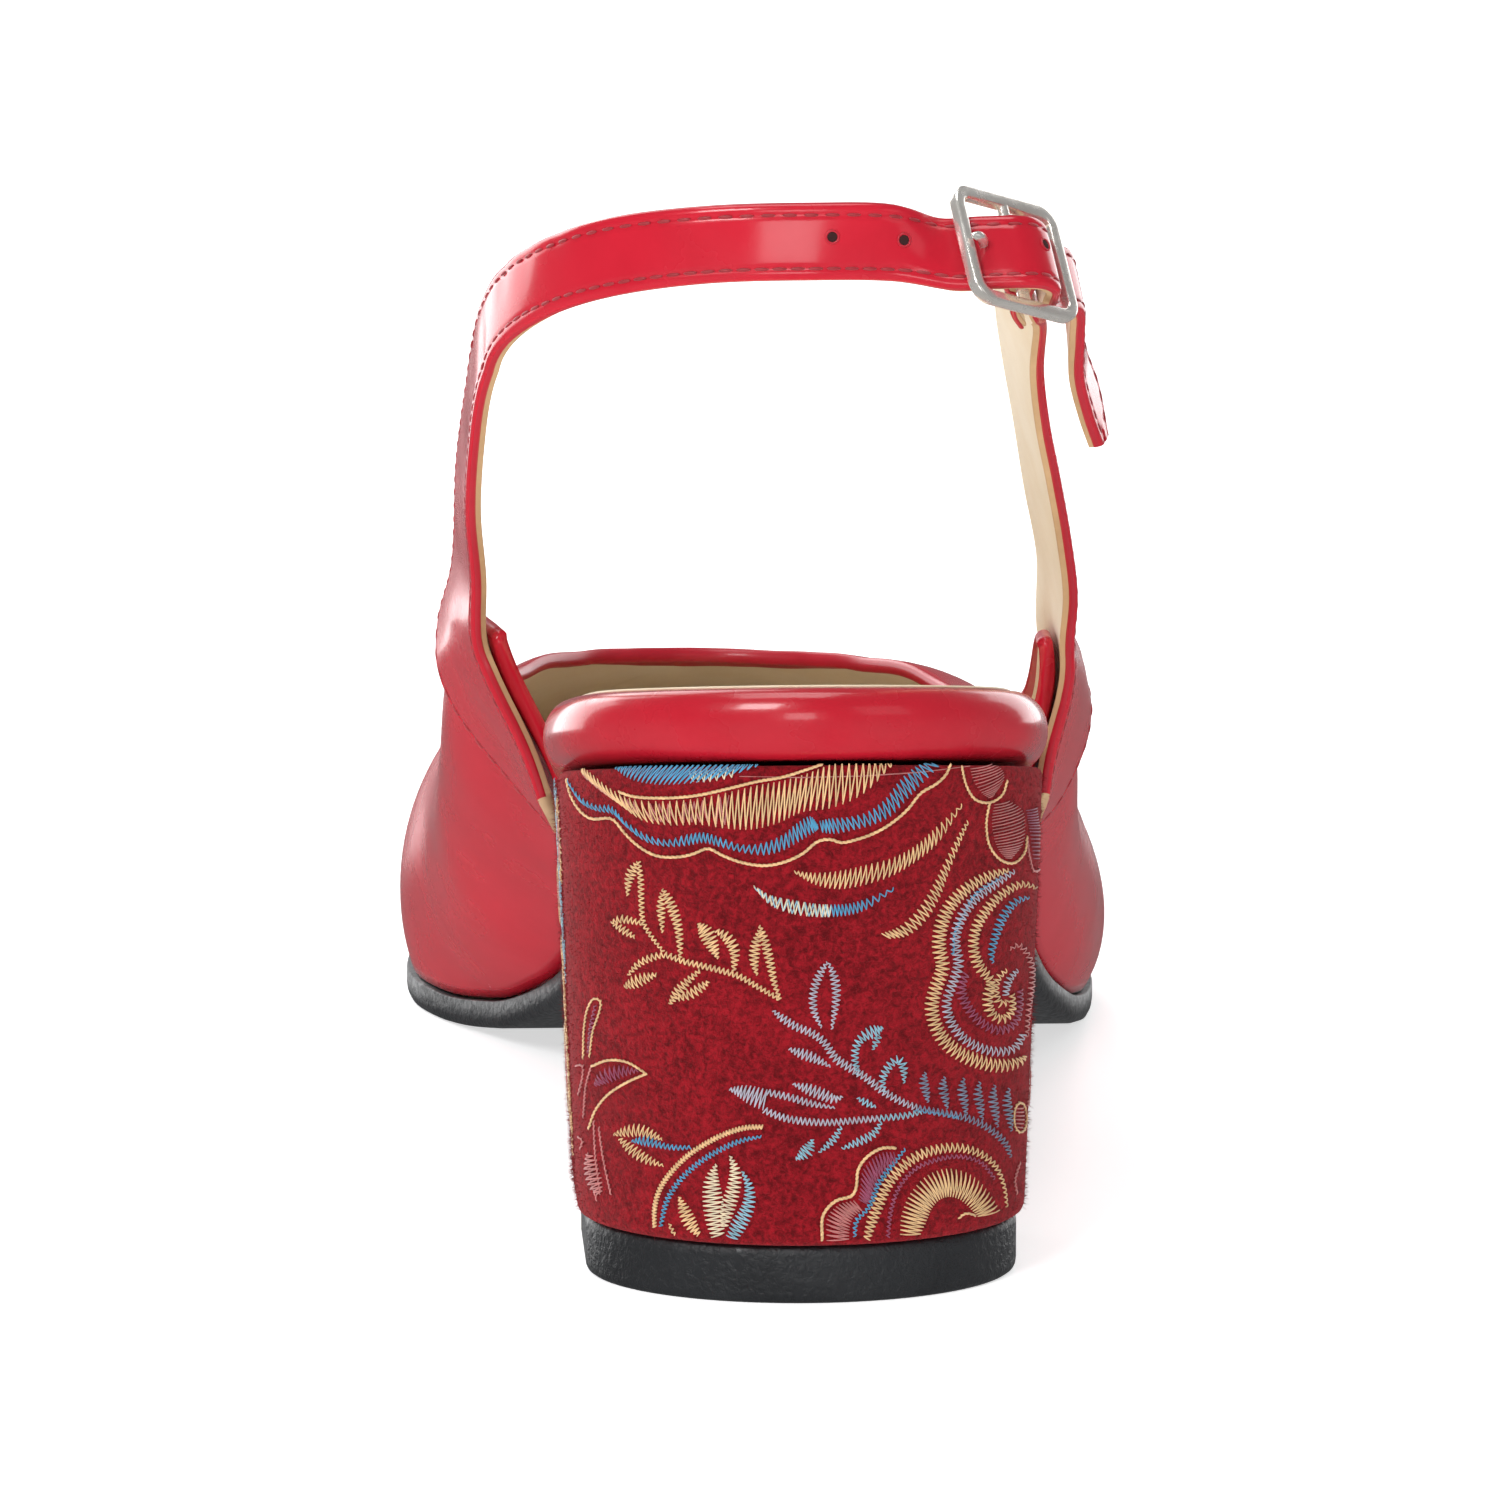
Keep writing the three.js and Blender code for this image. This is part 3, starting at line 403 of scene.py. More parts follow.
class Paint:
    """A material's node tree, and short ways to add to it."""

    def __init__(self, name: str) -> None:
        """Starts a material with a bare principled shader."""
        self.material = bpy.data.materials.new(name)
        self.material.use_nodes = True
        self.tree = self.material.node_tree
        self.shader = self.tree.nodes["Principled BSDF"]
        self.place = self.node("ShaderNodeTexCoord").outputs["Object"]

    def node(self, kind: str, settings: dict | None = None, **inputs: object) -> bpy.types.Node:
        """Adds a node.

        Args:
            kind: the node's type.
            settings: its properties, set before its sockets.
            inputs: socket name, with _ for a space, to a value, a Value or a socket.

        Returns:
            The node.
        """
        node = self.tree.nodes.new(kind)
        for key, value in (settings or {}).items():
            setattr(node, key, value)
        for key, value in inputs.items():
            self.plug(node, key.replace("_", " "), value)
        return node

    def plug(self, node: bpy.types.Node, name: str | int, value: object) -> None:
        """Sets or links one input of a node."""
        plug = node.inputs[name]
        source = value.socket if isinstance(value, Value) else value
        if isinstance(source, bpy.types.NodeSocket):
            self.tree.links.new(source, plug)
        else:
            plug.default_value = source

    def noise(self, scale: float, detail: float = 4, rough: float = 0.55, warp: float = 0.0) -> Value:
        """A noise pattern, scale in turns a metre."""
        made = self.node("ShaderNodeTexNoise", Vector=self.place, Scale=scale, Detail=detail, Roughness=rough,
                         Distortion=warp)
        return Value(self.tree, made.outputs["Fac"])

    def cells(self, scale: float, feature: str = "DISTANCE_TO_EDGE") -> Value:
        """A cell pattern's distance, scale in cells a metre."""
        made = self.node("ShaderNodeTexVoronoi", {"feature": feature}, Vector=self.place, Scale=scale)
        return Value(self.tree, made.outputs["Distance"])

    def ranged(self, value: Value, low: float, high: float, to: tuple[float, float] = (0.0, 1.0)) -> Value:
        """A value's range moved to another, clamped."""
        made = self.node("ShaderNodeMapRange", Value=value)
        for name, number in zip(("From Min", "From Max", "To Min", "To Max"), (low, high, *to)):
            made.inputs[name].default_value = number
        return Value(self.tree, made.outputs["Result"])

    def blend(self, share: Value | float, one: object, two: object) -> bpy.types.NodeSocket:
        """A mix of two colours."""
        made = self.node("ShaderNodeMix", {"data_type": "RGBA"})
        self.plug(made, 0, share)
        for index, colour in ((6, one), (7, two)):
            self.plug(made, index, (*colour, 1) if isinstance(colour, tuple) and len(colour) == 3 else colour)
        return made.outputs[2]

    def bump(self, height: Value, strength: float, depth: float) -> None:
        """Leads a height to the shader's normal, depth in millimetres."""
        made = self.node("ShaderNodeBump", Height=height, Strength=strength, Distance=depth * MM)
        self.plug(self.shader, "Normal", made.outputs[0])

    def finish(self, **constants: float) -> bpy.types.Material:
        """Sets the shader's own sockets and gives the material."""
        for key, value in constants.items():
            self.plug(self.shader, key.replace("_", " "), value)
        return self.material


@dataclass(frozen=True)
class Leather:
    """Smooth dyed leather with a glossy finish."""

    name: str
    colour: tuple[float, float, float]
    deep: tuple[float, float, float]
    gloss: float = 0.22
    coat: float = 0.3
    grain: float = 0.12
    crease: float = 0.05

    def make(self) -> bpy.types.Material:
        """The material."""
        paint = Paint(self.name)
        cloud = paint.noise(38, 5, 0.6, 0.4)
        pores = paint.cells(1500)
        fine = paint.noise(2600, 3, 0.6)
        folds = paint.ranged(paint.noise(150, 3, 0.5, 1.8), 0.35, 0.65)
        colour = paint.blend(paint.ranged(cloud, 0.32, 0.7), self.deep, self.colour)
        rough = paint.ranged(paint.noise(90, 4, 0.6), 0.3, 0.7, (self.gloss - 0.06, self.gloss + 0.1))
        paint.plug(paint.shader, "Base Color", colour)
        paint.plug(paint.shader, "Roughness", rough)
        height = paint.ranged(pores, 0, 0.12) * self.grain + fine * (0.4 * self.grain) + folds * self.crease
        paint.bump(height, 0.2, 0.08)
        return paint.finish(Coat_Weight=self.coat, Coat_Roughness=0.11, Specular_IOR_Level=0.32)


@dataclass(frozen=True)
class Lining:
    """Pale lining leather, matt."""

    name: str
    colour: tuple[float, float, float]
    deep: tuple[float, float, float]
    rough: float = 0.62

    def make(self) -> bpy.types.Material:
        """The material."""
        paint = Paint(self.name)
        colour = paint.blend(paint.ranged(paint.noise(70, 6, 0.65), 0.3, 0.7), self.deep, self.colour)
        paint.plug(paint.shader, "Base Color", colour)
        paint.bump(paint.cells(1700) + paint.noise(2400, 3) * 0.6, 0.3, 0.08)
        return paint.finish(Roughness=self.rough)


@dataclass(frozen=True)
class Suede:
    """Napped suede: colour that shifts with the nap, and a soft sheen."""

    name: str
    light: tuple[float, float, float] = (0.33, 0.007, 0.015)
    dark: tuple[float, float, float] = (0.1, 0.0015, 0.004)

    def make(self) -> bpy.types.Material:
        """The material."""
        paint = Paint(self.name)
        brushed = paint.noise(120, 6, 0.7, 0.8)
        nap = paint.noise(1500, 5, 0.75, 0.6)
        fibre = paint.noise(3800, 2, 0.7)
        tone = paint.ranged(brushed * 0.18 + nap * 0.82, 0.4, 0.6)
        colour = paint.blend(tone, self.dark, self.light)
        paint.plug(paint.shader, "Base Color", colour)
        paint.bump(nap + fibre * 0.6, 0.85, 0.3)
        shader = paint.finish(Roughness=0.95, Specular_IOR_Level=0.15, Sheen_Weight=0.25, Sheen_Roughness=0.5)
        paint.shader.inputs["Sheen Tint"].default_value = (0.9, 0.25, 0.25, 1)
        return shader


@dataclass(frozen=True)
class Rubber:
    """Moulded black rubber with a pebble grain."""

    name: str
    grain: float = 1.0

    def make(self) -> bpy.types.Material:
        """The material."""
        paint = Paint(self.name)
        pebble = paint.noise(1100, 3, 0.6, 0.5)
        colour = paint.blend(paint.ranged(paint.noise(60, 4), 0.3, 0.7), (0.012, 0.013, 0.015),
                             (0.024, 0.026, 0.029))
        paint.plug(paint.shader, "Base Color", colour)
        paint.plug(paint.shader, "Roughness", paint.ranged(pebble, 0.3, 0.7, (0.36, 0.55)))
        paint.bump(paint.ranged(pebble, 0.4, 0.62), 0.5 * self.grain, 0.16)
        return paint.finish(Specular_IOR_Level=0.45)


@dataclass(frozen=True)
class Nickel:
    """Polished warm nickel with light handling marks."""

    name: str

    def make(self) -> bpy.types.Material:
        """The material."""
        paint = Paint(self.name)
        marks = paint.noise(700, 4, 0.7)
        paint.plug(paint.shader, "Roughness", paint.ranged(marks, 0.3, 0.7, (0.16, 0.3)))
        colour = paint.blend(paint.ranged(paint.noise(200, 3), 0.3, 0.7), (0.84, 0.8, 0.74),
                             (0.95, 0.92, 0.87))
        paint.plug(paint.shader, "Base Color", colour)
        paint.bump(marks, 0.12, 0.05)
        return paint.finish(Metallic=0.78, Coat_Weight=0.4, Coat_Roughness=0.12)


@dataclass(frozen=True)
class Yarn:
    """Embroidery or sewing thread. Its colour is the piece's own, or one of its own."""

    name: str
    colour: tuple[float, float, float] | None = None

    def make(self) -> bpy.types.Material:
        """The material."""
        paint = Paint(self.name)
        shade = paint.ranged(paint.noise(900, 3), 0.3, 0.7)
        if self.colour is None:
            base = paint.node("ShaderNodeAttribute", {"attribute_name": "thread"}).outputs["Color"]
        else:
            base = (*self.colour, 1)
        darker = paint.node("ShaderNodeMix", {"data_type": "RGBA", "blend_type": "MULTIPLY"})
        paint.plug(darker, 0, (1 - shade) * 0.45)
        paint.plug(darker, 6, base)
        paint.plug(darker, 7, (0.55, 0.45, 0.42, 1))
        paint.plug(paint.shader, "Base Color", darker.outputs[2])
        paint.bump(paint.noise(5200, 2), 0.3, 0.05)
        return paint.finish(Roughness=0.5, Sheen_Weight=0.2)


@dataclass(frozen=True)
class HoleShade:
    """Painted shade: the near-black inside of a punched hole, a colour that stands for the shadow in it."""

    name: str

    def make(self) -> bpy.types.Material:
        """The material."""
        paint = Paint(self.name)
        colour = paint.blend(paint.noise(800), (0.02, 0.004, 0.004), (0.05, 0.01, 0.01))
        paint.plug(paint.shader, "Base Color", colour)
        return paint.finish(Roughness=0.9)


class Wardrobe:
    """Every finish of the shoe, made once."""

    def __init__(self) -> None:
        """Makes the materials."""
        self.red = Leather("red_leather", (0.58, 0.012, 0.03), (0.47, 0.008, 0.022)).make()
        self.rim = Leather("red_rim_leather", (0.52, 0.012, 0.028), (0.44, 0.008, 0.02), 0.24, 0.5, 0.3,
                           0.45).make()
        # painted shade: the folded edges take a darker copy of the red leather for the shade where it turns
        # over; their rougher, thinner coat is their own
        self.fold = Leather("red_folded_edge_painted_shade", (0.5, 0.016, 0.034), (0.4, 0.01, 0.022), 0.34, 0.15).make()
        self.lining = Lining("beige_lining", (0.84, 0.74, 0.59), (0.78, 0.65, 0.47)).make()
        self.cut = Lining("lining_cut_edge", (0.66, 0.44, 0.24), (0.5, 0.31, 0.16), 0.8).make()
        self.sock = Lining("beige_sock", (0.9, 0.8, 0.62), (0.82, 0.68, 0.47), 0.5).make()
        self.suede = Suede("red_suede").make()
        self.rubber = Rubber("black_rubber").make()
        self.sole = Rubber("black_outsole", 0.5).make()
        self.nickel = Nickel("nickel").make()
        self.yarn = Yarn("embroidery_thread").make()
        self.stitch = Yarn("red_thread", (0.36, 0.012, 0.022)).make()
        # painted shade: near-black dimples stand in for the shadow inside the sling's holes
        self.dark = HoleShade("hole").make()


# ---------------------------------------------------------------- mesh helpers

def piece(name: str, points: Array, faces: Sequence[Sequence[int]], materials: Sequence[bpy.types.Material],
          marks: Sequence[int] | None = None, flat: bool = False) -> bpy.types.Object:
    """Makes a mesh object from points in millimetres.

    Args:
        name: the object's name.
        points: its points.
        faces: point numbers of each face.
        materials: its materials.
        marks: each face's material number.
        flat: whether faces stay flat shaded.

    Returns:
        The object, with its normals outwards.
    """
    mesh = bpy.data.meshes.new(name)
    mesh.from_pydata([tuple(p) for p in np.asarray(points).reshape(-1, 3) * MM], [],
                     [tuple(f) for f in faces])
    for material in materials:
        mesh.materials.append(material)
    if marks is not None:
        mesh.polygons.foreach_set("material_index", list(marks))
    mesh.polygons.foreach_set("use_smooth", [not flat] * len(mesh.polygons))
    mesh.update()
    made = bpy.data.objects.new(name, mesh)
    bpy.context.collection.objects.link(made)
    return made


def alone(thing: bpy.types.Object) -> None:
    """Leaves one object selected and active."""
    bpy.ops.object.select_all(action="DESELECT")
    thing.select_set(True)
    bpy.context.view_layer.objects.active = thing


def tidy(thing: bpy.types.Object, merge: float = 1e-6) -> None:
    """Merges doubled points and turns the faces outwards."""
    alone(thing)
    bpy.ops.object.mode_set(mode="EDIT")
    bpy.ops.mesh.select_all(action="SELECT")
    bpy.ops.mesh.remove_doubles(threshold=merge)
    bpy.ops.mesh.normals_make_consistent(inside=False)
    bpy.ops.object.mode_set(mode="OBJECT")


def tube(rings: Array, closed_rings: bool, caps: bool) -> list[tuple[int, ...]]:
    """Faces of a skin through rings of points.

    Args:
        rings: rows of points, all rows alike.
        closed_rings: whether each row is a ring.
        caps: whether the first and last ring are filled.

    Returns:
        The faces.
    """
    rows, cols = rings.shape[:2]
    i, k = np.meshgrid(np.arange(rows - 1), np.arange(cols if closed_rings else cols - 1), indexing="ij")
    n = (k + 1) % cols
    quads = np.stack([i * cols + k, i * cols + n, (i + 1) * cols + n, (i + 1) * cols + k],
                     axis=-1).reshape(-1, 4)
    faces = [tuple(int(x) for x in q) for q in quads]
    if caps:
        faces += [tuple(range(cols))[::-1], tuple(range((rows - 1) * cols, rows * cols))]
    return faces


def join_copies(name: str, points: Array, faces: Array, frames: Array,
                material: bpy.types.Material) -> bpy.types.Object:
    """One mesh of many copies of a small form.

    Args:
        name: the object's name.
        points: the form's points, millimetres.
        faces: the form's faces, as an array.
        frames: one 3 x 4 matrix for each copy.
        material: its material.

    Returns:
        The object.
    """
    moved = np.einsum("nij,pj->npi", frames[:, :, :3], points) + frames[:, None, :, 3]
    every = (faces[None] + (np.arange(len(frames)) * len(points))[:, None, None]).reshape(-1, faces.shape[1])
    return piece(name, moved, every.tolist(), [material])


def form(kind: str, **sizes: float) -> tuple[Array, Array]:
    """Models one small repeated form with Blender's own tools and takes its points and faces.

    Args:
        kind: "bead" for a thread's stitch or "blade" for a fibre.
        sizes: segments and rings.

    Returns:
        The points and the triangles.
    """
    if kind == "bead":
        bpy.ops.mesh.primitive_uv_sphere_add(segments=int(sizes["segments"]), ring_count=int(sizes["rings"]),
                                             radius=1)
    else:
        bpy.ops.mesh.primitive_cone_add(vertices=3, radius1=1, depth=1, location=(0, 0, 0.5))
    made = bpy.context.object
    alone(made)
    bpy.ops.object.mode_set(mode="EDIT")
    bpy.ops.mesh.select_all(action="SELECT")
    bpy.ops.mesh.quads_convert_to_tris()
    bpy.ops.object.mode_set(mode="OBJECT")
    bpy.ops.object.transform_apply(location=True)
    points = np.array([tuple(v.co) for v in made.data.vertices])
    faces = np.array([tuple(p.vertices) for p in made.data.polygons])
    bpy.data.objects.remove(made)
    return points, faces


def seat(made: Iterable[bpy.types.Object], slot: str, *nodes: str) -> None:
    """Rides pieces on the shoe and lets the first stand for CAD nodes."""
    for index, one in enumerate(made):
        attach(one, "root")
        if nodes and index == 0:
            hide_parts(*nodes)


# ---------------------------------------------------------------- upper and straps

def fine_rows(rows: Array, per_step: int) -> Array:
    """Rows of points made finer along a strap, as the part's source does."""
    share = np.linspace(0, 1, (len(rows) - 1) * per_step + 1)
    return np.stack([Curve(rows[:, k]).at(share) for k in range(rows.shape[1])], axis=1)


@dataclass
class Buckle:
    """The frame buckle, its post and its prong, in their own run, tall and out directions."""

    long: float = 16.6
    tall: float = 14.6
    bar: float = 1.5
    thick: float = 1.5
    corner: float = 2.6
    post: float = 0.7
    prong: float = 0.55
    through: float = 5.2
    place: tuple[float, float, float] = (0.62, 0.0675, 0.873)
    run: tuple[float, float, float] = (0.73, 0.62, -0.28)
    upright: tuple[float, float, float] = (-0.18, 0.573, 0.8)

    def __post_init__(self) -> None:
        """Works out the frame and the clearances of the strap."""
        self.centre = sling_point(np.array(self.place))
        self.along = unit(np.array(self.run))
        self.out = unit(np.cross(self.along, self.upright))
        self.up = np.cross(self.out, self.along)
        self.reach = (self.long - self.bar) / 2
        self.under = self.thick / 2 + LAST.clearance + 0.85 * STRAP_WALL + self.bar / 3
        self.fold = self.post + LAST.clearance + FOLD_WALL / 2
        self.over = self.fold + FOLD_WALL / 2 + LAST.clearance + STRAP_WALL / 2

    def at(self, a: float, w: Array | float, o: float) -> Array:
        """Points at a along, w up and o out of the buckle's middle."""
        w = np.asarray(w, float)
        return self.centre + self.along * a + self.up * w[..., None] + self.out * o

    def row(self, a: float, o: float, width: float, slip: float = 0.0) -> Array:
        """A strap's row of five points in the buckle's frame."""
        return self.at(a, width * (np.linspace(0, 1, 5) - 0.5) - slip, o)

    def matrix(self) -> Matrix:
        """The buckle's own frame, in metres."""
        rows = [(*map(float, r), float(c) * MM) for r,
                c in zip(zip(self.along, self.up, self.out), self.centre)]
        return Matrix((*rows, (0, 0, 0, 1)))

    def build(self, finishes: Wardrobe) -> None:
        """Models the frame, the post and the prong."""
        bpy.ops.object.select_all(action="DESELECT")
        bpy.ops.mesh.primitive_plane_add(size=1)
        ring = bpy.context.object
        ring.name = ring.data.name = "nickel_frame"
        ring.scale = (self.long * MM, self.tall * MM, 1)
        bpy.ops.object.transform_apply(scale=True)
        bpy.ops.object.mode_set(mode="EDIT")
        bpy.ops.mesh.select_all(action="SELECT")
        bpy.ops.mesh.bevel(offset=self.corner * MM, segments=9, affect="VERTICES")
        bpy.ops.mesh.inset(thickness=self.bar * MM)
        bpy.ops.mesh.delete(type="FACE")
        bpy.ops.mesh.select_all(action="SELECT")
        bpy.ops.mesh.extrude_region_move(TRANSFORM_OT_translate={"value": (0, 0, self.thick * MM)})
        bpy.ops.mesh.select_all(action="SELECT")
        bpy.ops.transform.translate(value=(0, 0, -self.thick / 2 * MM))
        bpy.ops.mesh.normals_make_consistent(inside=False)
        bpy.ops.object.mode_set(mode="OBJECT")
        soften = ring.modifiers.new("soft_edges", "BEVEL")
        soften.width, soften.segments, soften.limit_method = 0.42 * MM, 4, "ANGLE"
        soften.angle_limit = math.radians(50)
        bpy.ops.object.modifier_apply(modifier=soften.name)
        bpy.ops.object.select_all(action="DESELECT")
        bpy.ops.mesh.primitive_cylinder_add(vertices=24, radius=self.post * MM,
                                            depth=(self.tall - self.bar) * MM,
                                            rotation=(math.pi / 2, 0, 0))
        bpy.ops.object.transform_apply(rotation=True)
        ring.select_set(True)
        bpy.context.view_layer.objects.active = ring
        bpy.ops.object.join()
        ring.matrix_world = self.matrix()
        bpy.ops.object.transform_apply(location=True, rotation=True, scale=True)
        bpy.ops.object.shade_smooth_by_angle(angle=math.radians(40))
        ring.data.materials.append(finishes.nickel)
        seat([ring], "nickel", "buckle_frame")

        turn = self.post + LAST.clearance + self.prong
        rest = self.thick / 2 + LAST.clearance + self.prong
        path = [(turn * math.cos(a), 0, turn * math.sin(a)) for a in np.radians(np.arange(150, -91, -30))]
        path += [(-self.through * 0.6, 0, -turn), (-self.through * 0.85, 0, -rest / 2),
                 (-self.through * 1.08, 0, rest / 2), (-self.reach * 0.9, 0, rest),
                 (-self.reach * 1.1, 0, rest)]
        line = Curve(np.array(path)).at(np.linspace(0, 1, 90))
        way = unit(np.gradient(line, axis=0))
        side = np.array([0, 1.0, 0])
        up = np.cross(way, side)
        angles = np.linspace(0, 2 * math.pi, 12, endpoint=False)
        radius = self.prong * np.sqrt(np.clip(np.minimum(np.arange(90), np.arange(90)[::-1]) / 4, 0.05, 1))
        rings = line[:, None] + radius[:, None, None] * (
            np.cos(angles)[None, :, None] * side + np.sin(angles)[None, :, None] * up[:, None])
        world = (self.centre + rings[..., :1] * self.along + rings[..., 1:2] * self.up + rings[...,
                                                                                               2:] * self.out)
        pin = piece("nickel_prong", world, tube(world, True, True), [finishes.nickel])
        tidy(pin)
        seat([pin], "nickel", "buckle_prong")
        log.info("buckle: frame, post and prong")


ANKLE_HALF, SLING_BACK, SLING_DEPTH, SLING_RISE = 37.0, -18.8, 80.0, 58.8
QUARTER_TOP = float(LAST.upper(np.array([FIRST_RIB]), np.array([1.0]))[0, 2])


def sling_point(shares: Array) -> Array:
    """Points from shares of the sling's half width, depth and rise."""
    base = np.array([0, SLING_BACK, QUARTER_TOP])
    return base + np.asarray(shares, float) * np.array([ANKLE_HALF, SLING_DEPTH, SLING_RISE])


def free_rows(table: Sequence[tuple[tuple[float, float, float], tuple[float, float, float]]]) -> Array:
    """A table's rows, each as five points from the low to the high edge."""
    low, high = (sling_point(np.array(side)) for side in zip(*table))
    share = np.linspace(0, 1, 5)[None, :, None]
    return low[:, None] * (1 - share) + high[:, None] * share


def band_rows(back: float, foot: float, top: float) -> Array:
    """The rows of a strap's base that lies on the upper, from its back edge to its front seam."""
    v = np.linspace(0, 1, 7)[:, None] * np.ones(5)
    front = foot + (top - foot) * v
    step = back + (front - back) * np.linspace(0, 1, 5)
    p = LAST.upper(step, v) + LAST.upper_out(step, v) * (BAND_CLEARANCE + STRAP_WALL / 2)
    p[..., 2] = np.maximum(p[..., 2], LAST.bed(p[..., 1]) + LAST.clearance)
    return p


@dataclass
class Strap:
    """A strap of outer leather folded over its edges on a lining, sewn along both edges."""

    name: str
    node: str
    rows: Array
    outwards: float = 1.0
    thin_from: float = 2.0
    stitched: tuple[float, float] = (0.0, 1.0)
    slot: str = "red_leather"
    per_step: int = 8
    sew_in: float = 1.35
    wrinkles: list[tuple[float, float, float, float]] = field(default_factory=list)

    def surface(self) -> None:
        """Works out the fine mid surface, its outward directions and its thickness."""
        self.mid = fine_rows(self.rows, self.per_step)
        way = np.gradient(self.mid, axis=0)
        across = np.gradient(self.mid, axis=1)
        self.out = unit(np.cross(way, across)) * self.outwards
        self.width = np.linalg.norm(self.mid[:, -1] - self.mid[:, 0], axis=1)
        share = np.linspace(0, 1, len(self.mid))
        self.wall = np.where(share < self.thin_from, STRAP_WALL, FOLD_WALL)
        self.run = np.concatenate([[0], np.cumsum(np.linalg.norm(np.diff(self.mid[:, 2], axis=0), axis=1))])

    def at(self, share: Array) -> tuple[Array, Array]:
        """Points and outward directions of the mid surface, by row, for shares across from the low edge."""
        position = np.clip(share, 0, 1) * 4
        k = np.minimum(position.astype(int), 3)
        rows = np.arange(len(self.mid))[:, None]
        w = (position - k)[..., None]
        points = self.mid[rows, k] * (1 - w) + self.mid[rows, k + 1] * w
        outs = unit(self.out[rows, k] * (1 - w) + self.out[rows, k + 1] * w)
        return points, outs

    def build(self, finishes: Wardrobe) -> None:
        """Makes the strap, its stitches, and seats them."""
        self.surface()
        # from an edge: distance in, share of the wall outwards
        over = [(0.0, 0.0), (0.09, 0.26), (0.3, 0.42), (0.7, 0.49), (1.1, 0.5), (1.35, 0.43), (1.6, 0.5),
                (2.1, 0.51)]
        under = [(0.02, -0.06), (0.2, -0.14), (0.26, -0.16), (0.3, -0.44), (0.6, -0.5)]
        ring = [("low", d, o) for d, o in over] + [("mid", m, 0.52) for m in (0.33, 0.5, 0.67)]
        ring += [("high", d, o) for d, o in reversed(over)] + [("high", d, o) for d, o in under]
        ring += [("mid", m, -0.5) for m in (0.67, 0.5, 0.33)] + [("low", d, o) for d, o in reversed(under)]
        share = np.stack([
            np.full(len(self.mid), d) if side == "mid"
            else d / self.width if side == "low" else 1 - d / self.width
            for side, d, _ in ring], axis=1)
        points, outs = self.at(share)
        heights = np.array([o for _, _, o in ring]) * self.wall[:, None]
        heights = heights + self.swell(share)
        skin = points + outs * heights[..., None]
        faces = tube(skin, True, True)
        by_column = [self.finish_of(ring, k) for k in range(len(ring))]
        marks = by_column * (len(skin) - 1) + [2, 2]
        made = piece(self.name, skin, faces, [finishes.red, finishes.fold, finishes.cut, finishes.lining],
                     marks)
        tidy(made)
        sewing = self.sew(finishes)
        seat([made, sewing], self.slot, self.node)
        log.info("%s: %d rows, %.0f mm long", self.name, len(skin), self.run[-1])

    @staticmethod
    def finish_of(ring: Sequence[tuple[str, float, float]], k: int) -> int:
        """The material number of the ring's face from point k to the next."""
        (_, a, o), (_, b, p) = ring[k], ring[(k + 1) % len(ring)]
        if min(o, p) > 0.2:
            return 0
        # the folded edge, in the darker red that paints its shade
        if min(o, p) > -0.15:
            return 1
        if max(o, p) > -0.45 or (a < 0.28 and b < 0.28):
            return 2
        return 3

    def swell(self, share: Array) -> Array:
        """Small listed creases and a soft swell, as heights over the strap."""
        run = self.run[:, None] / self.run[-1]
        height = 0 * share
        for place, across, size, depth in self.wrinkles:
            along = (run - place) / size + 0.35 * (share - across)
            height = height - depth * np.exp(-along ** 2) * np.exp(-((share - across) / 0.35) ** 2)
        return height

    def sew(self, finishes: Wardrobe) -> bpy.types.Object:
        """The stitches along both edges."""
        points, faces = form("bead", segments=8, rings=6)
        frames = []
        first, last = (self.run[-1] * s for s in self.stitched)
        places = np.arange(first + 1.5, last - 1.2, 2.15)
        for high in (False, True):
            share = self.sew_in / self.width
            share = 1 - share if high else share
            p, o = self.at(share[:, None])
            line = p[:, 0] + o[:, 0] * (self.wall * 0.47)[:, None]
            step = np.concatenate([[0], np.cumsum(np.linalg.norm(np.diff(line, axis=0), axis=1))])
            at = places * step[-1] / self.run[-1]
            spots = np.stack([np.interp(at, step, line[:, k]) for k in range(3)], axis=1)
            ways = unit(np.stack([np.interp(at + 0.5, step, line[:, k]) for k in range(3)], axis=1) - spots)
            ups = unit(np.stack([np.interp(at, step, o[:, 0, k]) for k in range(3)], axis=1))
            sides = np.cross(ups, ways)
            frames.append(np.concatenate([
                ways[..., None] * 0.82, sides[..., None] * 0.2, ups[..., None] * 0.17, spots[..., None]],
                axis=2))
        return join_copies(self.name + "_stitches", points, faces, np.concatenate(frames), finishes.stitch)


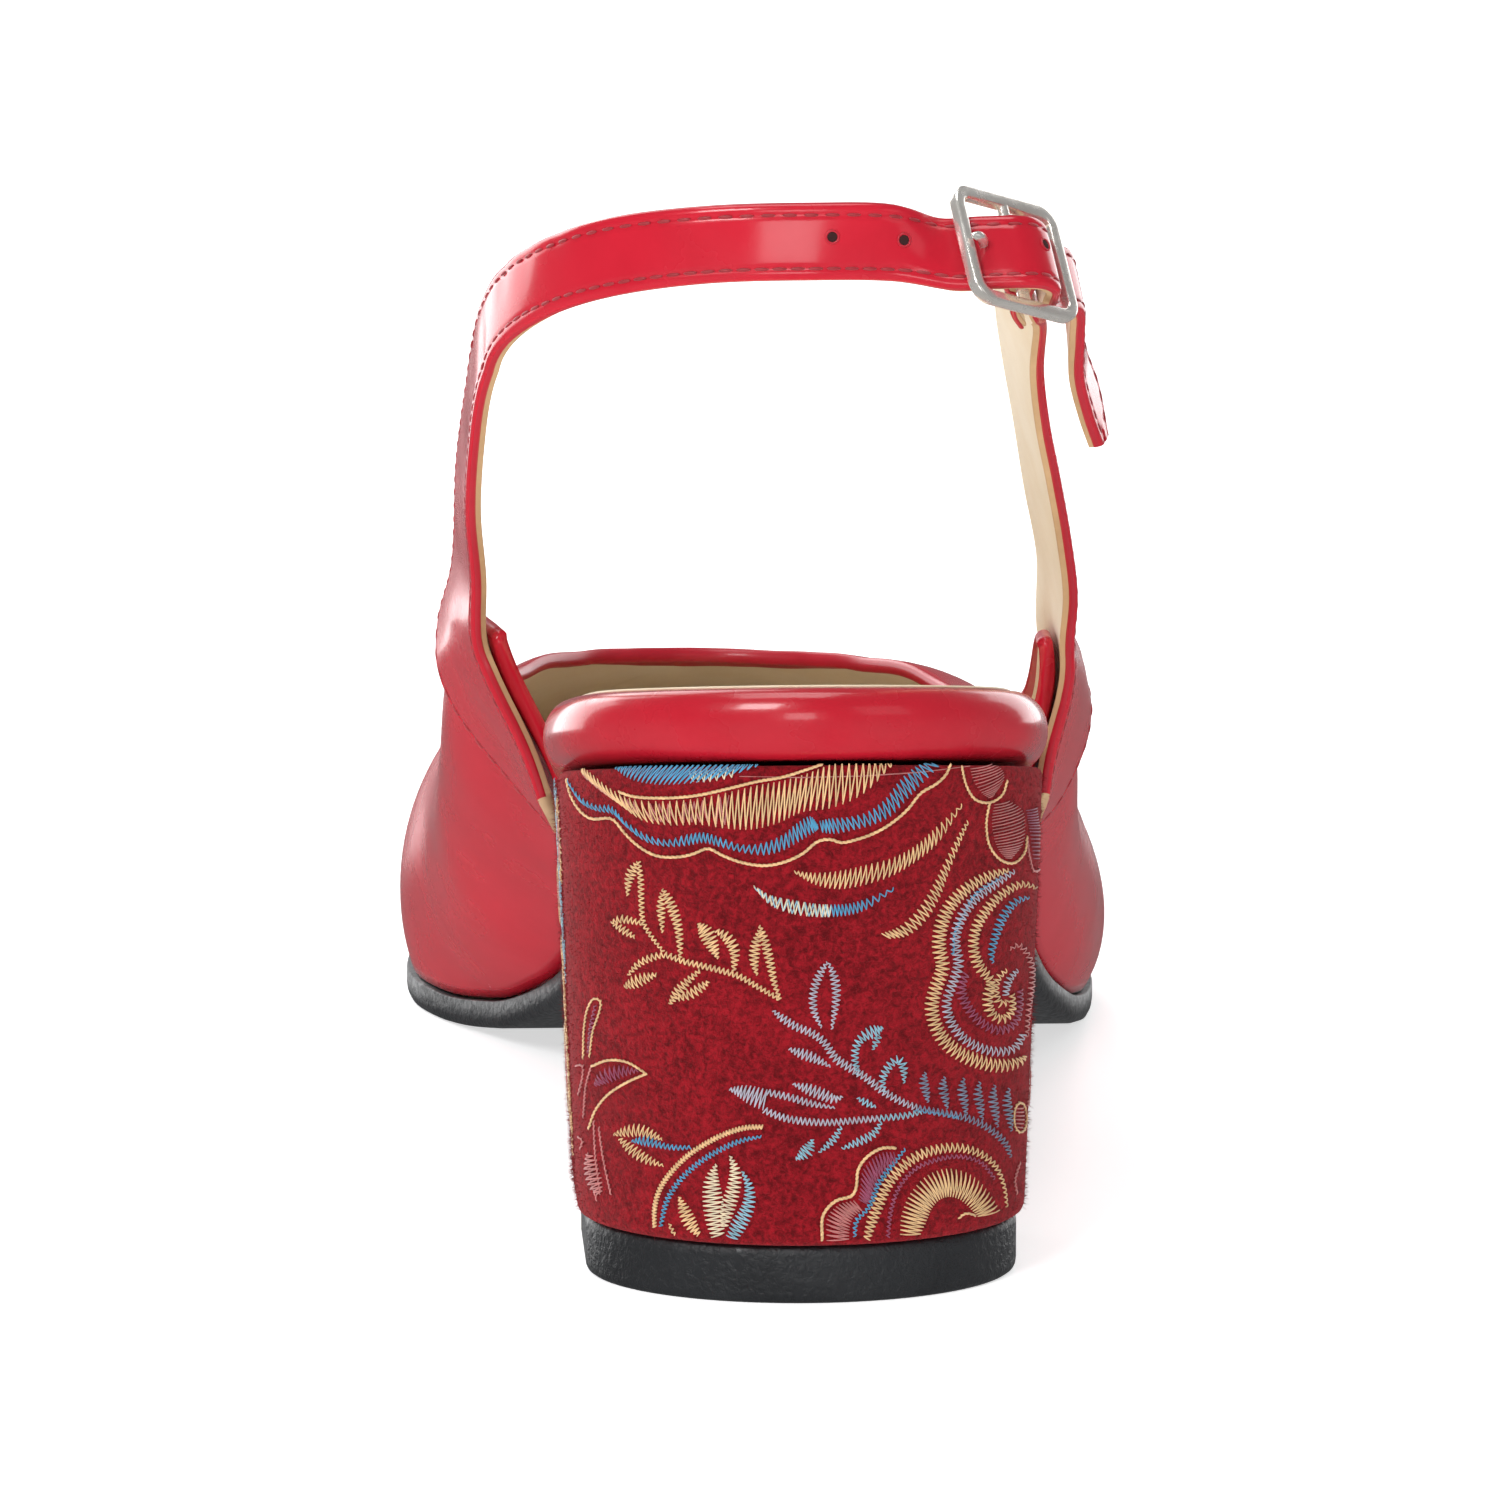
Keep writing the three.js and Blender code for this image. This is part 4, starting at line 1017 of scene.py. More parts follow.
@dataclass
class Upper:
    """The closed vamp with its quarters: red leather folded over the topline, lined inside."""

    ribs: int = 150
    rises: int = 34

    def build(self, finishes: Wardrobe) -> None:
        """Makes the shell."""
        steps = np.linspace(FIRST_RIB, LAST_RIB, self.ribs)[:, None]
        v = np.linspace(0, 1, self.rises)[None, :]
        grid_s, grid_v = steps + 0 * v, v + 0 * steps
        outer = LAST.upper(grid_s, grid_v)
        out = LAST.upper_out(grid_s, grid_v)
        up = unit(outer[:, -1] - outer[:, -2])
        top_out = out[:, -1]
        half = UPPER_WALL / 2
        middle = outer[:, -1] - top_out * half
        turns = np.radians([25, 55, 90, 125, 155])
        fold = np.stack([middle + top_out * half * math.cos(a) + up * 0.7 * half * math.sin(a)
                         for a in turns], axis=1)
        inner = (outer - out * UPPER_WALL)[:, ::-1]
        inner[..., 2] = np.maximum(inner[..., 2], LAST.bed(inner[..., 1]) + LAST.clearance)
        # The lining starts a little below the topline, under the red fold
        inner[:, 1:] += (out[:, ::-1][:, 1:] * 0.12)
        skin = np.concatenate([outer, fold, inner], axis=1)
        faces = tube(skin, True, True)
        columns = skin.shape[1]
        # the fold over the topline takes the darker red that paints its shade
        marks = [0 if k < self.rises - 1 else 1 if k < self.rises + len(turns) + 1 else 2
                 for k in range(columns)]
        made = piece("vamp", skin, faces, [finishes.red, finishes.fold, finishes.lining],
                     marks * (self.ribs - 1) + [0, 0])
        tidy(made)
        seat([made], "red_leather", "upper")
        log.info("vamp: %d ribs", self.ribs)


# ---------------------------------------------------------------- sole parts

@dataclass
class Footing:
    """The wrapped footbed, its sock and the outsole, laid on the last's bed."""

    pad: float = 8.2
    waist: float = 4.0
    swell: float = 0.4
    sock: float = 0.8
    margin: float = 3.4
    bevel: float = 1.2
    inner_margin: float = 0.8

    def __post_init__(self) -> None:
        """Makes the thickness and inset curves from the part's tables."""
        start = float(LAST.upper(np.array([FIRST_RIB - OVERHANG]), np.array([0.0]))[0, 1])
        ys = (-LAST.back, start - 5, start - 1, 0.318 * LAST.length, 2 * LAST.length)
        inside = UPPER_WALL + LAST.clearance + self.inner_margin
        self.thick = through(ys, (self.pad, self.pad, self.pad * 0.97, self.waist, self.waist))
        self.inset = through(ys, (0, 0, inside, inside, inside))
        length = LAST.length
        self.welt = through((0.127 * length, 0.381 * length, 0.551 * length, length), (1, 0, -0.7, -0.7))

    @staticmethod
    def layer(first: float, profile: Callable[[Array], list[tuple[Array, Array]]],
              per_step: int = 10) -> Array:
        """Rings of a layer on the bed, each from the inner side over to the outer side.

        Args:
            first: the outline step where it begins.
            profile: for points' y, its edge from bottom to top, as insets and lifts.
            per_step: rungs for each outline step.

        Returns:
            The rings, one for each rung.
        """
        steps = np.linspace(first, TIP, int(math.ceil((TIP - first) * per_step)) + 1)
        sides = []
        for at in (steps, TURNS - steps):
            y = LAST.edge(at)[:, 1]
            points = []
            for inset, lift in profile(y):
                p = LAST.edge(at, inset)
                p[:, 2] = LAST.bed(p[:, 1]) + lift
                points.append(p)
            sides.append(np.stack(points, axis=1))
        return np.concatenate([sides[0], sides[1][:, ::-1]], axis=1)

    def rim(self, y: Array) -> list[tuple[Array, Array]]:
        """The footbed's rounded edge."""
        half = self.thick(y) / 2
        roll = np.minimum(half, self.margin - LAST.clearance)
        angles = np.linspace(-math.pi / 2, math.pi / 2, 17)
        return [(self.inset(y) - self.swell + roll * (1 - math.cos(a)),
                 LAST.clearance + half + half * math.sin(a)) for a in angles]

    def build(self, finishes: Wardrobe) -> None:
        """Makes the three layers."""
        rings = self.layer(0.0, self.rim, 14)
        bed = piece("wrapped_footbed", rings, tube(rings, True, True), [finishes.rim])
        tidy(bed, 1e-5)
        seat([bed], "red_leather", "insole")
        rings = self.layer(0.0, lambda y: [
            (self.inset(y) + self.margin, LAST.clearance + self.thick(y) + 0.02),
            (self.inset(y) + self.margin, LAST.clearance + self.thick(y) + 0.2),
            (self.inset(y) + self.margin + 0.2, LAST.clearance + self.thick(y) + 0.34)], 14)
        sock = piece("sock_leather", rings, tube(rings, True, True), [finishes.sock])
        tidy(sock, 1e-5)
        seat([sock], "beige_lining", "sock")
        first = LAST.step_at(HeelBlock().top_breast + LAST.clearance)

        def edge(y: Array) -> list[tuple[Array, Array]]:
            """The outsole's bevelled edge."""
            inset, sole = self.welt(y), LAST.sole
            return [(inset + self.bevel, 0 * y - sole),
                    (inset + 0.35 * self.bevel, 0 * y - sole + 0.2 * self.bevel),
                    (inset + 0.08, 0 * y - sole + 0.75 * self.bevel),
                    (inset, 0 * y - sole + 1.25 * self.bevel),
                    (inset, 0 * y - 0.25), (inset + 0.22, 0 * y)]

        rings = self.layer(first, edge, 12)
        sole = piece("rubber_outsole", rings, tube(rings, True, True), [finishes.sole])
        tidy(sole, 1e-5)
        seat([sole], "black_rubber", "outsole")
        log.info("footbed, sock and outsole")


@dataclass
class HeelBlock:
    """The suede-covered block heel on its rubber top lift."""

    top_half: float = 27.2
    top_back: float = 22.8
    top_breast: float = 24.0
    foot_half: float = 25.3
    foot_back: float = 21.4
    foot_breast: float = 19.0
    corner: float = 4.0
    widest: float = -1.0
    lift: float = 6.5
    lift_inset: float = 0.9
    side: float = 20.0  # a straight side's length for each u past 1
    fibres: int = 16000
    fibre_length: tuple[float, float] = (0.3, 0.95)
    fibre_half: float = 0.035

    def sizes(self, share: Array) -> tuple[Array, Array, Array]:
        """Half width, back and breast at a share of the height."""
        return (self.foot_half + (self.top_half - self.foot_half) * share,
                self.foot_back + (self.top_back - self.foot_back) * share,
                self.foot_breast + (self.top_breast - self.foot_breast) * share)

    def share_of(self, y: Array, z: Array) -> Array:
        """The share of the covered height at a point."""
        floor = self.lift + LAST.clearance
        return np.clip((z - floor) / (LAST.bed(y) - LAST.clearance - floor), -0.05, 1.05)

    def at(self, u: Array, z: Array) -> tuple[Array, Array]:
        """Points and outward directions of the heel's side.

        Args:
            u: the way round, 0 at the centre back, 1 where the straight sides start, signed.
            z: the height.

        Returns:
            The points and the directions.
        """
        u, z = np.broadcast_arrays(np.asarray(u, float), np.asarray(z, float))
        turn = np.clip(u, -1, 1) * math.pi / 2
        past = np.maximum(np.abs(u) - 1, 0) * self.side
        y = -15.0 + 0 * z
        for _ in range(4):
            half, back, _ = self.sizes(self.share_of(y, z))
            y = self.widest - (back + self.widest) * np.cos(turn) + past
        x = half * np.sin(turn)
        points = np.stack([x, y, z], axis=-1)
        nx, ny = np.sin(turn) / half, -np.cos(turn) / (back + self.widest)
        normals = unit(np.stack([nx, ny, 0 * nx - 0.0012], axis=-1))
        return points, normals

    def from_photo(self, spots: Array) -> tuple[Array, Array]:
        """The way round and the height of places in the photograph.

        Args:
            spots: columns and rows of the 1500 pixel frame.

        Returns:
            u and z, as at() takes them.
        """
        back = np.array(CAMERA.way())
        right = unit(np.cross([0, 0, 1.0], back))
        up = np.cross(back, right)
        aim = np.array(CAMERA.aim)
        focal = CAMERA.lens / SENSOR * FRAME
        col, row = (spots[..., 0] - FRAME / 2) / focal, (FRAME / 2 - spots[..., 1]) / focal
        ray = unit(-back + col[..., None] * right + row[..., None] * up)
        eye = aim + back * CAMERA.distance
        y = np.full(col.shape, -20.0)
        z = np.full(col.shape, 50.0)
        x = 0 * y
        for _ in range(30):
            t = (y - eye[1]) / ray[..., 1]
            x, z = eye[0] + ray[..., 0] * t, eye[2] + ray[..., 2] * t
            half, depth, _ = self.sizes(self.share_of(y, z))
            s = np.clip(x / half, -0.995, 0.995)
            y = 0.5 * y + 0.5 * (self.widest - (depth + self.widest) * np.sqrt(1 - s * s))
        return np.arcsin(s) * 2 / math.pi, z

    def plan(self, half: Array, back: Array, breast: Array) -> Array:
        """A closed plan round the heel, as points' x and y for each level."""
        turn = np.linspace(-math.pi / 2, math.pi / 2, 73)
        rows = []
        for h, b, f in zip(half, back, breast):
            round_back = np.stack([h * np.sin(turn), self.widest - (b + self.widest) * np.cos(turn)], axis=1)
            corner = np.linspace(0, math.pi / 2, 9)
            one = np.stack([h - self.corner + self.corner * np.cos(corner),
                            f - self.corner + self.corner * np.sin(corner)], axis=1)
            mid_sides = np.linspace(self.widest, f - self.corner, 9)[1:-1]
            side = np.stack([0 * mid_sides + h, mid_sides], axis=1)
            front = np.linspace(h - self.corner, -(h - self.corner), 15)[1:-1]
            face = np.stack([front, 0 * front + f], axis=1)
            other = (one * (-1, 1))[::-1]
            rows.append(np.concatenate([round_back, side, one, face, other, (side * (-1, 1))[::-1]]))
        return np.stack(rows)

    def build(self, finishes: Wardrobe) -> None:
        """Makes the covered block, its nap and the top lift."""
        shares = np.concatenate([[0, 0.004, 0.012], np.linspace(0.03, 0.97, 34), [0.988, 0.996, 1]])
        tuck = 0.55 * np.array([1, 0.4, 0.1] + [0.0] * 34 + [0.1, 0.4, 1])
        half, back, breast = self.sizes(shares)
        plan = self.plan(half - tuck, back - tuck, breast - tuck)
        floor = self.lift + LAST.clearance
        z = floor + (LAST.bed(plan[..., 1]) - LAST.clearance - floor) * shares[:, None]
        rings = np.concatenate([plan, z[..., None]], axis=2)
        cover = piece("suede_cover", rings, tube(rings, True, True), [finishes.suede])
        tidy(cover)
        nap = self.nap(finishes)
        seat([cover, nap], "red_suede", "heel_block")

        levels = np.array([0, 0.25, 0.6, 1.2, 3.2, 5.4, 6.2, 6.5])
        tuck = self.lift_inset + np.array([0.6, 0.25, 0.08, 0, 0, 0, 0.12, 0.5])
        ones = np.ones(len(levels))
        plan = self.plan(self.foot_half * ones - tuck, self.foot_back * ones - tuck,
                         self.foot_breast * ones - tuck)
        seam = np.exp(-((plan[..., 0] - 3.9) / 0.16) ** 2) * (plan[..., 1] < 0)
        plan[..., 1] -= 0.09 * seam
        rings = np.concatenate([plan, levels[:, None, None] + 0 * plan[..., :1]], axis=2)
        lift = piece("rubber_top_lift", rings, tube(rings, True, True), [finishes.rubber])
        tidy(lift)
        seat([lift], "black_rubber", "top_lift")
        log.info("heel block, nap and top lift")

    def nap(self, finishes: Wardrobe) -> bpy.types.Object:
        """Short suede fibres, all over the heel's sides."""
        points, faces = form("blade")
        rng = np.random.default_rng(7)
        u = rng.uniform(-1.95, 1.95, self.fibres)
        z = self.lift + 0.6 + rng.uniform(0, 1, self.fibres) * 58
        spots, normals = self.at(u, z)
        keep = z < LAST.bed(spots[:, 1]) - 0.9
        spots, normals = spots[keep], normals[keep]
        lean = rng.normal(0, 0.75, spots.shape) + np.array([0, 0, -0.25])
        ups = unit(normals + lean)
        sides = unit(np.cross(ups, rng.normal(0, 1, ups.shape)))
        others = np.cross(ups, sides)
        length = rng.uniform(*self.fibre_length, len(ups))[:, None]
        frames = np.concatenate([(sides * self.fibre_half)[..., None], (others * self.fibre_half)[..., None],
                                 (ups * length)[..., None], (spots - normals * 0.05)[..., None]], axis=2)
        return join_copies("suede_nap", points, faces, frames, finishes.suede)


# ---------------------------------------------------------------- embroidery

Spots = Sequence[tuple[float, float]]
Frond = Sequence[tuple[float, float, float]]


@dataclass
class Embroidery:
    """The heel's embroidery, charted one motif at a time, and laid one thread at a time.

    The charts are drawn on two sheets, enlarged from the photograph, the second below the first.
    """

    heel: HeelBlock
    enlarged: float = 3.136
    corner: tuple[float, float] = (560.0, 750.0)
    fine: float = 1.2  # a thread's thickness, in the photograph's pixels
    loose: float = 1.3  # how much wider the stitches are set than charted
    threads: list[tuple[Array, Array, float, tuple[float, float, float]]] = field(default_factory=list)

    def turn_to(self, column: float, row: float) -> None:
        """Turns to the sheet whose corner is at a place of the photograph."""
        self.corner = (column, row)

    def throw(self, start: Array, end: Array, colour: Thread, thick: float | None = None) -> None:
        """Lays threads from start places to end places.

        Args:
            start: the sheet's places where they start.
            end: the places where they end.
            colour: the thread.
            thick: its thickness, in the photograph's pixels.
        """
        for a, b in zip(np.atleast_2d(start), np.atleast_2d(end)):
            place = [np.asarray(spot) / self.enlarged + self.corner for spot in (a, b)]
            self.threads.append((place[0], place[1], thick or self.fine, colour.value))

    def zigzag(self, one: Spots, two: Spots, colour: Thread, pitch: float = 13.0,
               thick: float | None = None) -> None:
        """Fills a band between two edges with thread that goes to and fro."""
        length = len(Curve(np.array(one, float)).even(pitch * self.loose))
        t = np.linspace(0, 1, max(length, 3))
        a, b = Curve(np.array(one, float)).at(t), Curve(np.array(two, float)).at(t)
        self.throw(a[:-1], (b[:-1] + b[1:]) / 2, colour, thick)
        self.throw((b[:-1] + b[1:]) / 2, a[1:], colour, thick)

    def satin(self, one: Spots, two: Spots, colour: Thread, pitch: float = 8.0,
              thick: float | None = None) -> None:
        """Fills a band between two edges with thread laid side by side."""
        length = len(Curve(np.array(one, float)).even(pitch * self.loose))
        t = np.linspace(0, 1, max(length, 3))
        self.throw(Curve(np.array(one, float)).at(t), Curve(np.array(two, float)).at(t), colour, thick)

    def frond(self, path: Frond, colour: Thread, pitch: float = 12.0, thick: float | None = None) -> None:
        """A band of to and fro thread along a path of places and widths."""
        line = Curve(np.array(path, float)).even(pitch * self.loose)
        way = unit(np.gradient(line[:, :2], axis=0))
        side = np.stack([-way[:, 1], way[:, 0]], axis=1) * line[:, 2:] / 2
        one, two = line[:, :2] + side, line[:, :2] - side
        self.throw(one[:-1], (two[:-1] + two[1:]) / 2, colour, thick)
        self.throw((two[:-1] + two[1:]) / 2, one[1:], colour, thick)

    def rope(self, path: Spots, colour: Thread, pitch: float = 15.0, thick: float = 2.6) -> None:
        """A line of short fat stitches, end to end and a little aslant."""
        line = Curve(np.array(path, float)).even(pitch)
        way = unit(np.gradient(line, axis=0))
        side = np.stack([-way[:, 1], way[:, 0]], axis=1) * 1.6
        self.throw(line[:-1] - side[:-1] - way[:-1] * 1.5, line[1:] + side[1:] + way[1:] * 1.5, colour, thick)

    def chart_scallops(self) -> None:
        """The scallops and crescents under the rim."""
        cream, blue, ivory = Thread.CREAM, Thread.BLUE, Thread.IVORY
        self.zigzag([(150, 34), (250, 32), (350, 32), (450, 32), (560, 30), (650, 30)],
                    [(165, 50), (215, 88), (290, 106), (380, 106), (500, 90), (650, 40)], blue, 13)
        self.zigzag([(405, 60), (470, 58), (548, 52)], [(410, 98), (470, 100), (550, 84)], ivory, 15)
        self.rope([(185, 130), (230, 145), (330, 150), (430, 142), (530, 120), (620, 98), (700, 84),
                   (770, 62),
                   (850, 34)], cream)
        self.zigzag([(60, 45), (100, 75), (160, 122), (230, 154), (330, 160), (430, 152), (530, 132),
                     (620, 110),
                     (700, 96), (780, 72), (860, 42), (960, 34), (1040, 34)],
                    [(78, 82), (130, 128), (190, 172), (262, 222), (345, 236), (435, 234), (530, 247),
                     (610, 248),
                     (690, 226), (760, 194), (850, 182), (950, 138), (1046, 44)], cream, 14.5, 1.4)
        self.zigzag([(70, 60), (120, 100), (165, 132), (230, 160), (330, 168), (430, 160), (530, 142)],
                    [(80, 88), (135, 134), (185, 166), (262, 214), (345, 228), (435, 226), (530, 236)],
                    Thread.ROSE, 17)
        self.zigzag([(25, 90), (60, 140), (110, 170), (160, 174), (200, 216), (260, 258), (330, 280),
                     (400, 264),
                     (450, 258), (500, 272), (570, 296), (640, 290), (700, 264), (745, 228), (785, 208),
                     (806, 232)],
                    [(34, 112), (72, 170), (118, 192), (168, 202), (212, 244), (275, 290), (338, 303),
                     (400, 300),
                     (450, 291), (502, 304), (565, 320), (640, 330), (702, 314), (758, 282), (800, 256),
                     (810, 246)],
                    blue, 12)
        self.zigzag([(815, 222), (850, 214), (905, 210), (970, 190), (1022, 150), (1062, 98), (1105, 58),
                     (1150, 34)],
                    [(818, 258), (862, 262), (922, 250), (984, 234), (1042, 204), (1092, 150), (1135, 106),
                     (1196, 44)], blue, 12)
        self.rope([(22, 90), (35, 140), (65, 190), (100, 215), (165, 215), (200, 255), (240, 295), (300, 330),
                   (370, 335), (420, 325), (465, 308), (510, 330), (570, 352), (640, 362), (700, 352),
                   (760, 325),
                   (810, 285), (850, 280), (880, 290), (930, 280), (990, 258), (1040, 228), (1090, 185),
                   (1130, 135),
                   (1180, 105), (1210, 75), (1225, 40)], cream)
        self.zigzag([(735, 378), (800, 385), (880, 378), (960, 360), (1050, 335), (1120, 295), (1180, 240),
                     (1258, 168)], [(737, 386), (795, 420), (868, 436), (950, 424), (1040, 395), (1115, 350),
                                    (1185, 292), (1262, 174)], cream, 13)
        crescent = ([(608, 425), (660, 455), (730, 470), (800, 482), (850, 485)],
                    [(612, 433), (656, 484), (728, 514), (800, 523), (850, 523)])
        self.zigzag(*crescent, ivory, 12)
        self.zigzag(*crescent, Thread.SKY, 17)
        self.zigzag([(850, 484), (900, 482), (955, 468), (1045, 430)], [(852, 523), (905, 518), (962, 500),
                                                                       (1050, 437)], blue, 12)
        self.zigzag([(1008, 575), (1060, 555), (1120, 500), (1165, 430), (1200, 360), (1240, 280),
                     (1275, 220)],
                    [(1030, 592), (1092, 582), (1152, 530), (1192, 460), (1218, 388), (1252, 300),
                     (1281, 228)],
                    cream, 13)

    def chart_petals(self) -> None:
        """The petals at the top right."""
        cream, rose, mauve = Thread.CREAM, Thread.ROSE, Thread.MAUVE
        self.rope([(1258, 50), (1272, 110), (1300, 155), (1345, 165), (1385, 140), (1400, 95)], cream, 13,
                  2.3)
        self.satin([(1285, 50), (1294, 90), (1320, 132), (1342, 150)], [(1345, 40), (1384, 60), (1392, 90),
                                                                       (1362, 138)], rose, 7, 1.1)
        self.rope([(1345, 165), (1335, 230), (1345, 300), (1380, 345), (1420, 355), (1455, 320), (1462, 270)],
                  cream, 13, 2.3)
        self.satin([(1362, 172), (1354, 220), (1360, 270), (1374, 312), (1396, 338)],
                   [(1410, 160), (1450, 190), (1458, 240), (1450, 296), (1418, 338)], rose, 7, 1.1)
        self.rope([(1462, 270), (1470, 335), (1486, 385), (1500, 372)], rose, 13, 1.9)
        self.satin([(1462, 190), (1472, 250), (1484, 340)], [(1496, 180), (1503, 250), (1500, 340)], mauve, 8)

    def chart_swirl(self) -> None:
        """The swirl at the right, its lower half on the second sheet's side."""
        cream, lilac, mauve, blue = Thread.CREAM, Thread.LILAC, Thread.MAUVE, Thread.BLUE
        self.frond([(1405, 376, 12), (1345, 395, 32), (1280, 430, 38), (1225, 485, 42), (1195, 550, 44),
                    (1188, 620, 44), (1200, 680, 44), (1180, 740, 44), (1165, 800, 44), (1172, 850, 44),
                    (1200, 906, 46), (1250, 950, 46), (1310, 976, 46), (1380, 990, 42), (1440, 978, 30),
                    (1458, 960, 8)], cream, 12, 1.4)
        self.frond([(1424, 380, 14), (1362, 420, 32), (1300, 466, 34), (1256, 530, 34), (1238, 600, 32),
                    (1250, 670, 34), (1232, 730, 32), (1212, 790, 30), (1220, 840, 32), (1255, 895, 32),
                    (1310, 932, 32), (1370, 946, 30), (1425, 936, 26), (1452, 890, 22)], lilac, 12)
        self.frond([(1380, 400, 8), (1310, 446, 10), (1268, 506, 10), (1240, 570, 10), (1230, 640, 10)], blue,
                   11)
        self.frond([(1272, 700, 26), (1256, 750, 34), (1278, 806, 32), (1322, 856, 30), (1376, 880, 28),
                    (1422, 862, 24), (1440, 810, 22), (1442, 750, 18)], mauve, 12)
        self.frond([(1492, 432, 10), (1450, 420, 22), (1390, 448, 30), (1338, 500, 34), (1304, 560, 34),
                    (1296, 620, 34), (1314, 680, 36), (1350, 724, 30), (1340, 780, 34), (1350, 824, 32),
                    (1386, 846, 28), (1418, 816, 22), (1416, 764, 18)], cream, 12, 1.4)
        self.frond([(1470, 462, 8), (1430, 474, 24), (1392, 518, 30), (1366, 580, 28), (1352, 640, 20),
                    (1356, 668, 6)], blue, 12)
        self.frond([(1408, 626, 8), (1438, 610, 20), (1468, 648, 18), (1480, 700, 18), (1474, 760, 16),
                    (1466, 830, 14), (1462, 900, 10)], Thread.ROSE, 13)
        self.frond([(1400, 690, 12), (1372, 716, 22), (1364, 764, 26), (1384, 800, 24), (1404, 786, 16)],
                   cream, 12)
        self.frond([(1434, 690, 12), (1406, 724, 24), (1396, 770, 20)], lilac, 11)

    def chart_cream_sprig(self) -> None:
        """The cream sprig: narrow fronds, each leaf a stalk with a flap."""
        for path in (
                [(690, 782, 14), (620, 742, 18), (560, 708, 20), (500, 690, 20), (440, 675, 20),
                 (380, 660, 20),
                 (330, 642, 20), (285, 652, 24), (245, 672, 22), (215, 706, 8)],
                [(304, 703, 10), (270, 714, 34), (235, 728, 42), (204, 742, 12)],
                [(325, 632, 10), (290, 588, 14), (262, 540, 16), (256, 480, 18), (254, 410, 20),
                 (248, 350, 12)],
                [(246, 352, 12), (228, 378, 34), (216, 410, 26), (213, 457, 6)],
                [(262, 545, 12), (225, 535, 22), (190, 530, 26), (163, 542, 10)],
                [(172, 546, 16), (205, 568, 26), (236, 588, 8)],
                [(378, 650, 12), (376, 600, 22), (370, 550, 28), (354, 500, 34), (335, 458, 26),
                 (322, 436, 6)],
                [(320, 448, 12), (317, 495, 28), (320, 540, 18), (322, 573, 5)],
                [(434, 544, 8), (458, 572, 50), (478, 612, 42), (496, 654, 6)],
                [(490, 566, 14), (525, 588, 36), (548, 630, 34), (545, 692, 12)],
                [(690, 780, 8), (672, 730, 20), (662, 680, 26), (648, 620, 30), (634, 575, 24),
                 (626, 550, 6)],
                [(625, 566, 12), (612, 620, 34), (609, 665, 28), (618, 706, 5)],
                [(440, 690, 12), (400, 725, 26), (370, 760, 36), (345, 796, 10)],
                [(372, 778, 20), (410, 765, 34), (445, 742, 30), (467, 726, 8)]):
            self.frond(path, Thread.CREAM, 11, 1.4)

    def chart_lilac_sprig(self) -> None:
        """The blue and lilac sprig."""
        lilac, blue, sky = Thread.LILAC, Thread.BLUE, Thread.SKY
        pale = (
            [(668, 64, 8), (700, 90, 26), (740, 115, 26), (790, 135, 26), (830, 165, 26), (860, 210, 28),
             (910, 245, 28), (960, 275, 26), (1010, 315, 26), (1060, 345, 24), (1120, 370, 22)],
            [(838, -88, 6), (815, -50, 26), (796, 0, 26), (795, 60, 24), (820, 118, 6)],
            [(842, -86, 6), (860, -40, 28), (867, 10, 28), (862, 60, 22), (852, 123, 6)],
            [(718, 184, 8), (760, 200, 34), (800, 215, 30), (848, 240, 6)],
            [(532, 311, 8), (575, 320, 46), (612, 334, 62), (646, 345, 66)],
            [(650, 320, 22), (720, 336, 24), (790, 356, 22), (862, 369, 6)],
            [(640, 376, 22), (700, 400, 24), (770, 412, 24), (850, 415, 22), (930, 408, 22), (1000, 402, 20)],
            [(730, 294, 6), (780, 311, 36), (830, 330, 38), (860, 343, 26), (886, 334, 6)])
        bright = (
            [(932, 338, 6), (957, 352, 26), (990, 367, 6)],
            [(937, 268, 14), (925, 220, 24), (930, 172, 26), (955, 142, 34), (984, 130, 42), (1012, 118, 8)],
            [(1000, 140, 20), (992, 162, 24), (980, 187, 5)],
            [(1017, 320, 14), (1010, 280, 24), (1030, 240, 28), (1060, 214, 26), (1076, 238, 30),
             (1078, 292, 5)],
            [(740, 531, 8), (774, 505, 44), (793, 468, 8)], [(882, 428, 10), (857, 470, 26), (812, 509, 6)],
            [(1007, 412, 10), (985, 450, 26), (940, 474, 28), (884, 497, 8)],
            [(1000, 402, 20), (1080, 394, 22), (1132, 382, 16)])
        deep = [[(1120, 370, 22), (1190, 384, 24), (1250, 394, 24), (1310, 415, 24), (1360, 445, 24),
                 (1398, 484, 22), (1412, 524, 8)]]
        deep += [[(x, top, 6), (x - 5, (2 * top + low) / 3, 30), (x + 3, (top + 2 * low) / 3, 26),
                  (x + 8, low, 6)]
                 for x, top, low in ((1145, 258, 352), (1205, 272, 372), (1265, 276, 392), (1315, 288, 408),
                                     (1362, 298, 430), (1406, 308, 442))]
        for paths, colour in ((pale, lilac), (bright, sky), (deep, Thread.SLATE)):
            for path in paths:
                self.frond(path, colour, 11)
        self.frond([(1110, 376, 10), (1190, 388, 12), (1250, 400, 12)], blue, 12)

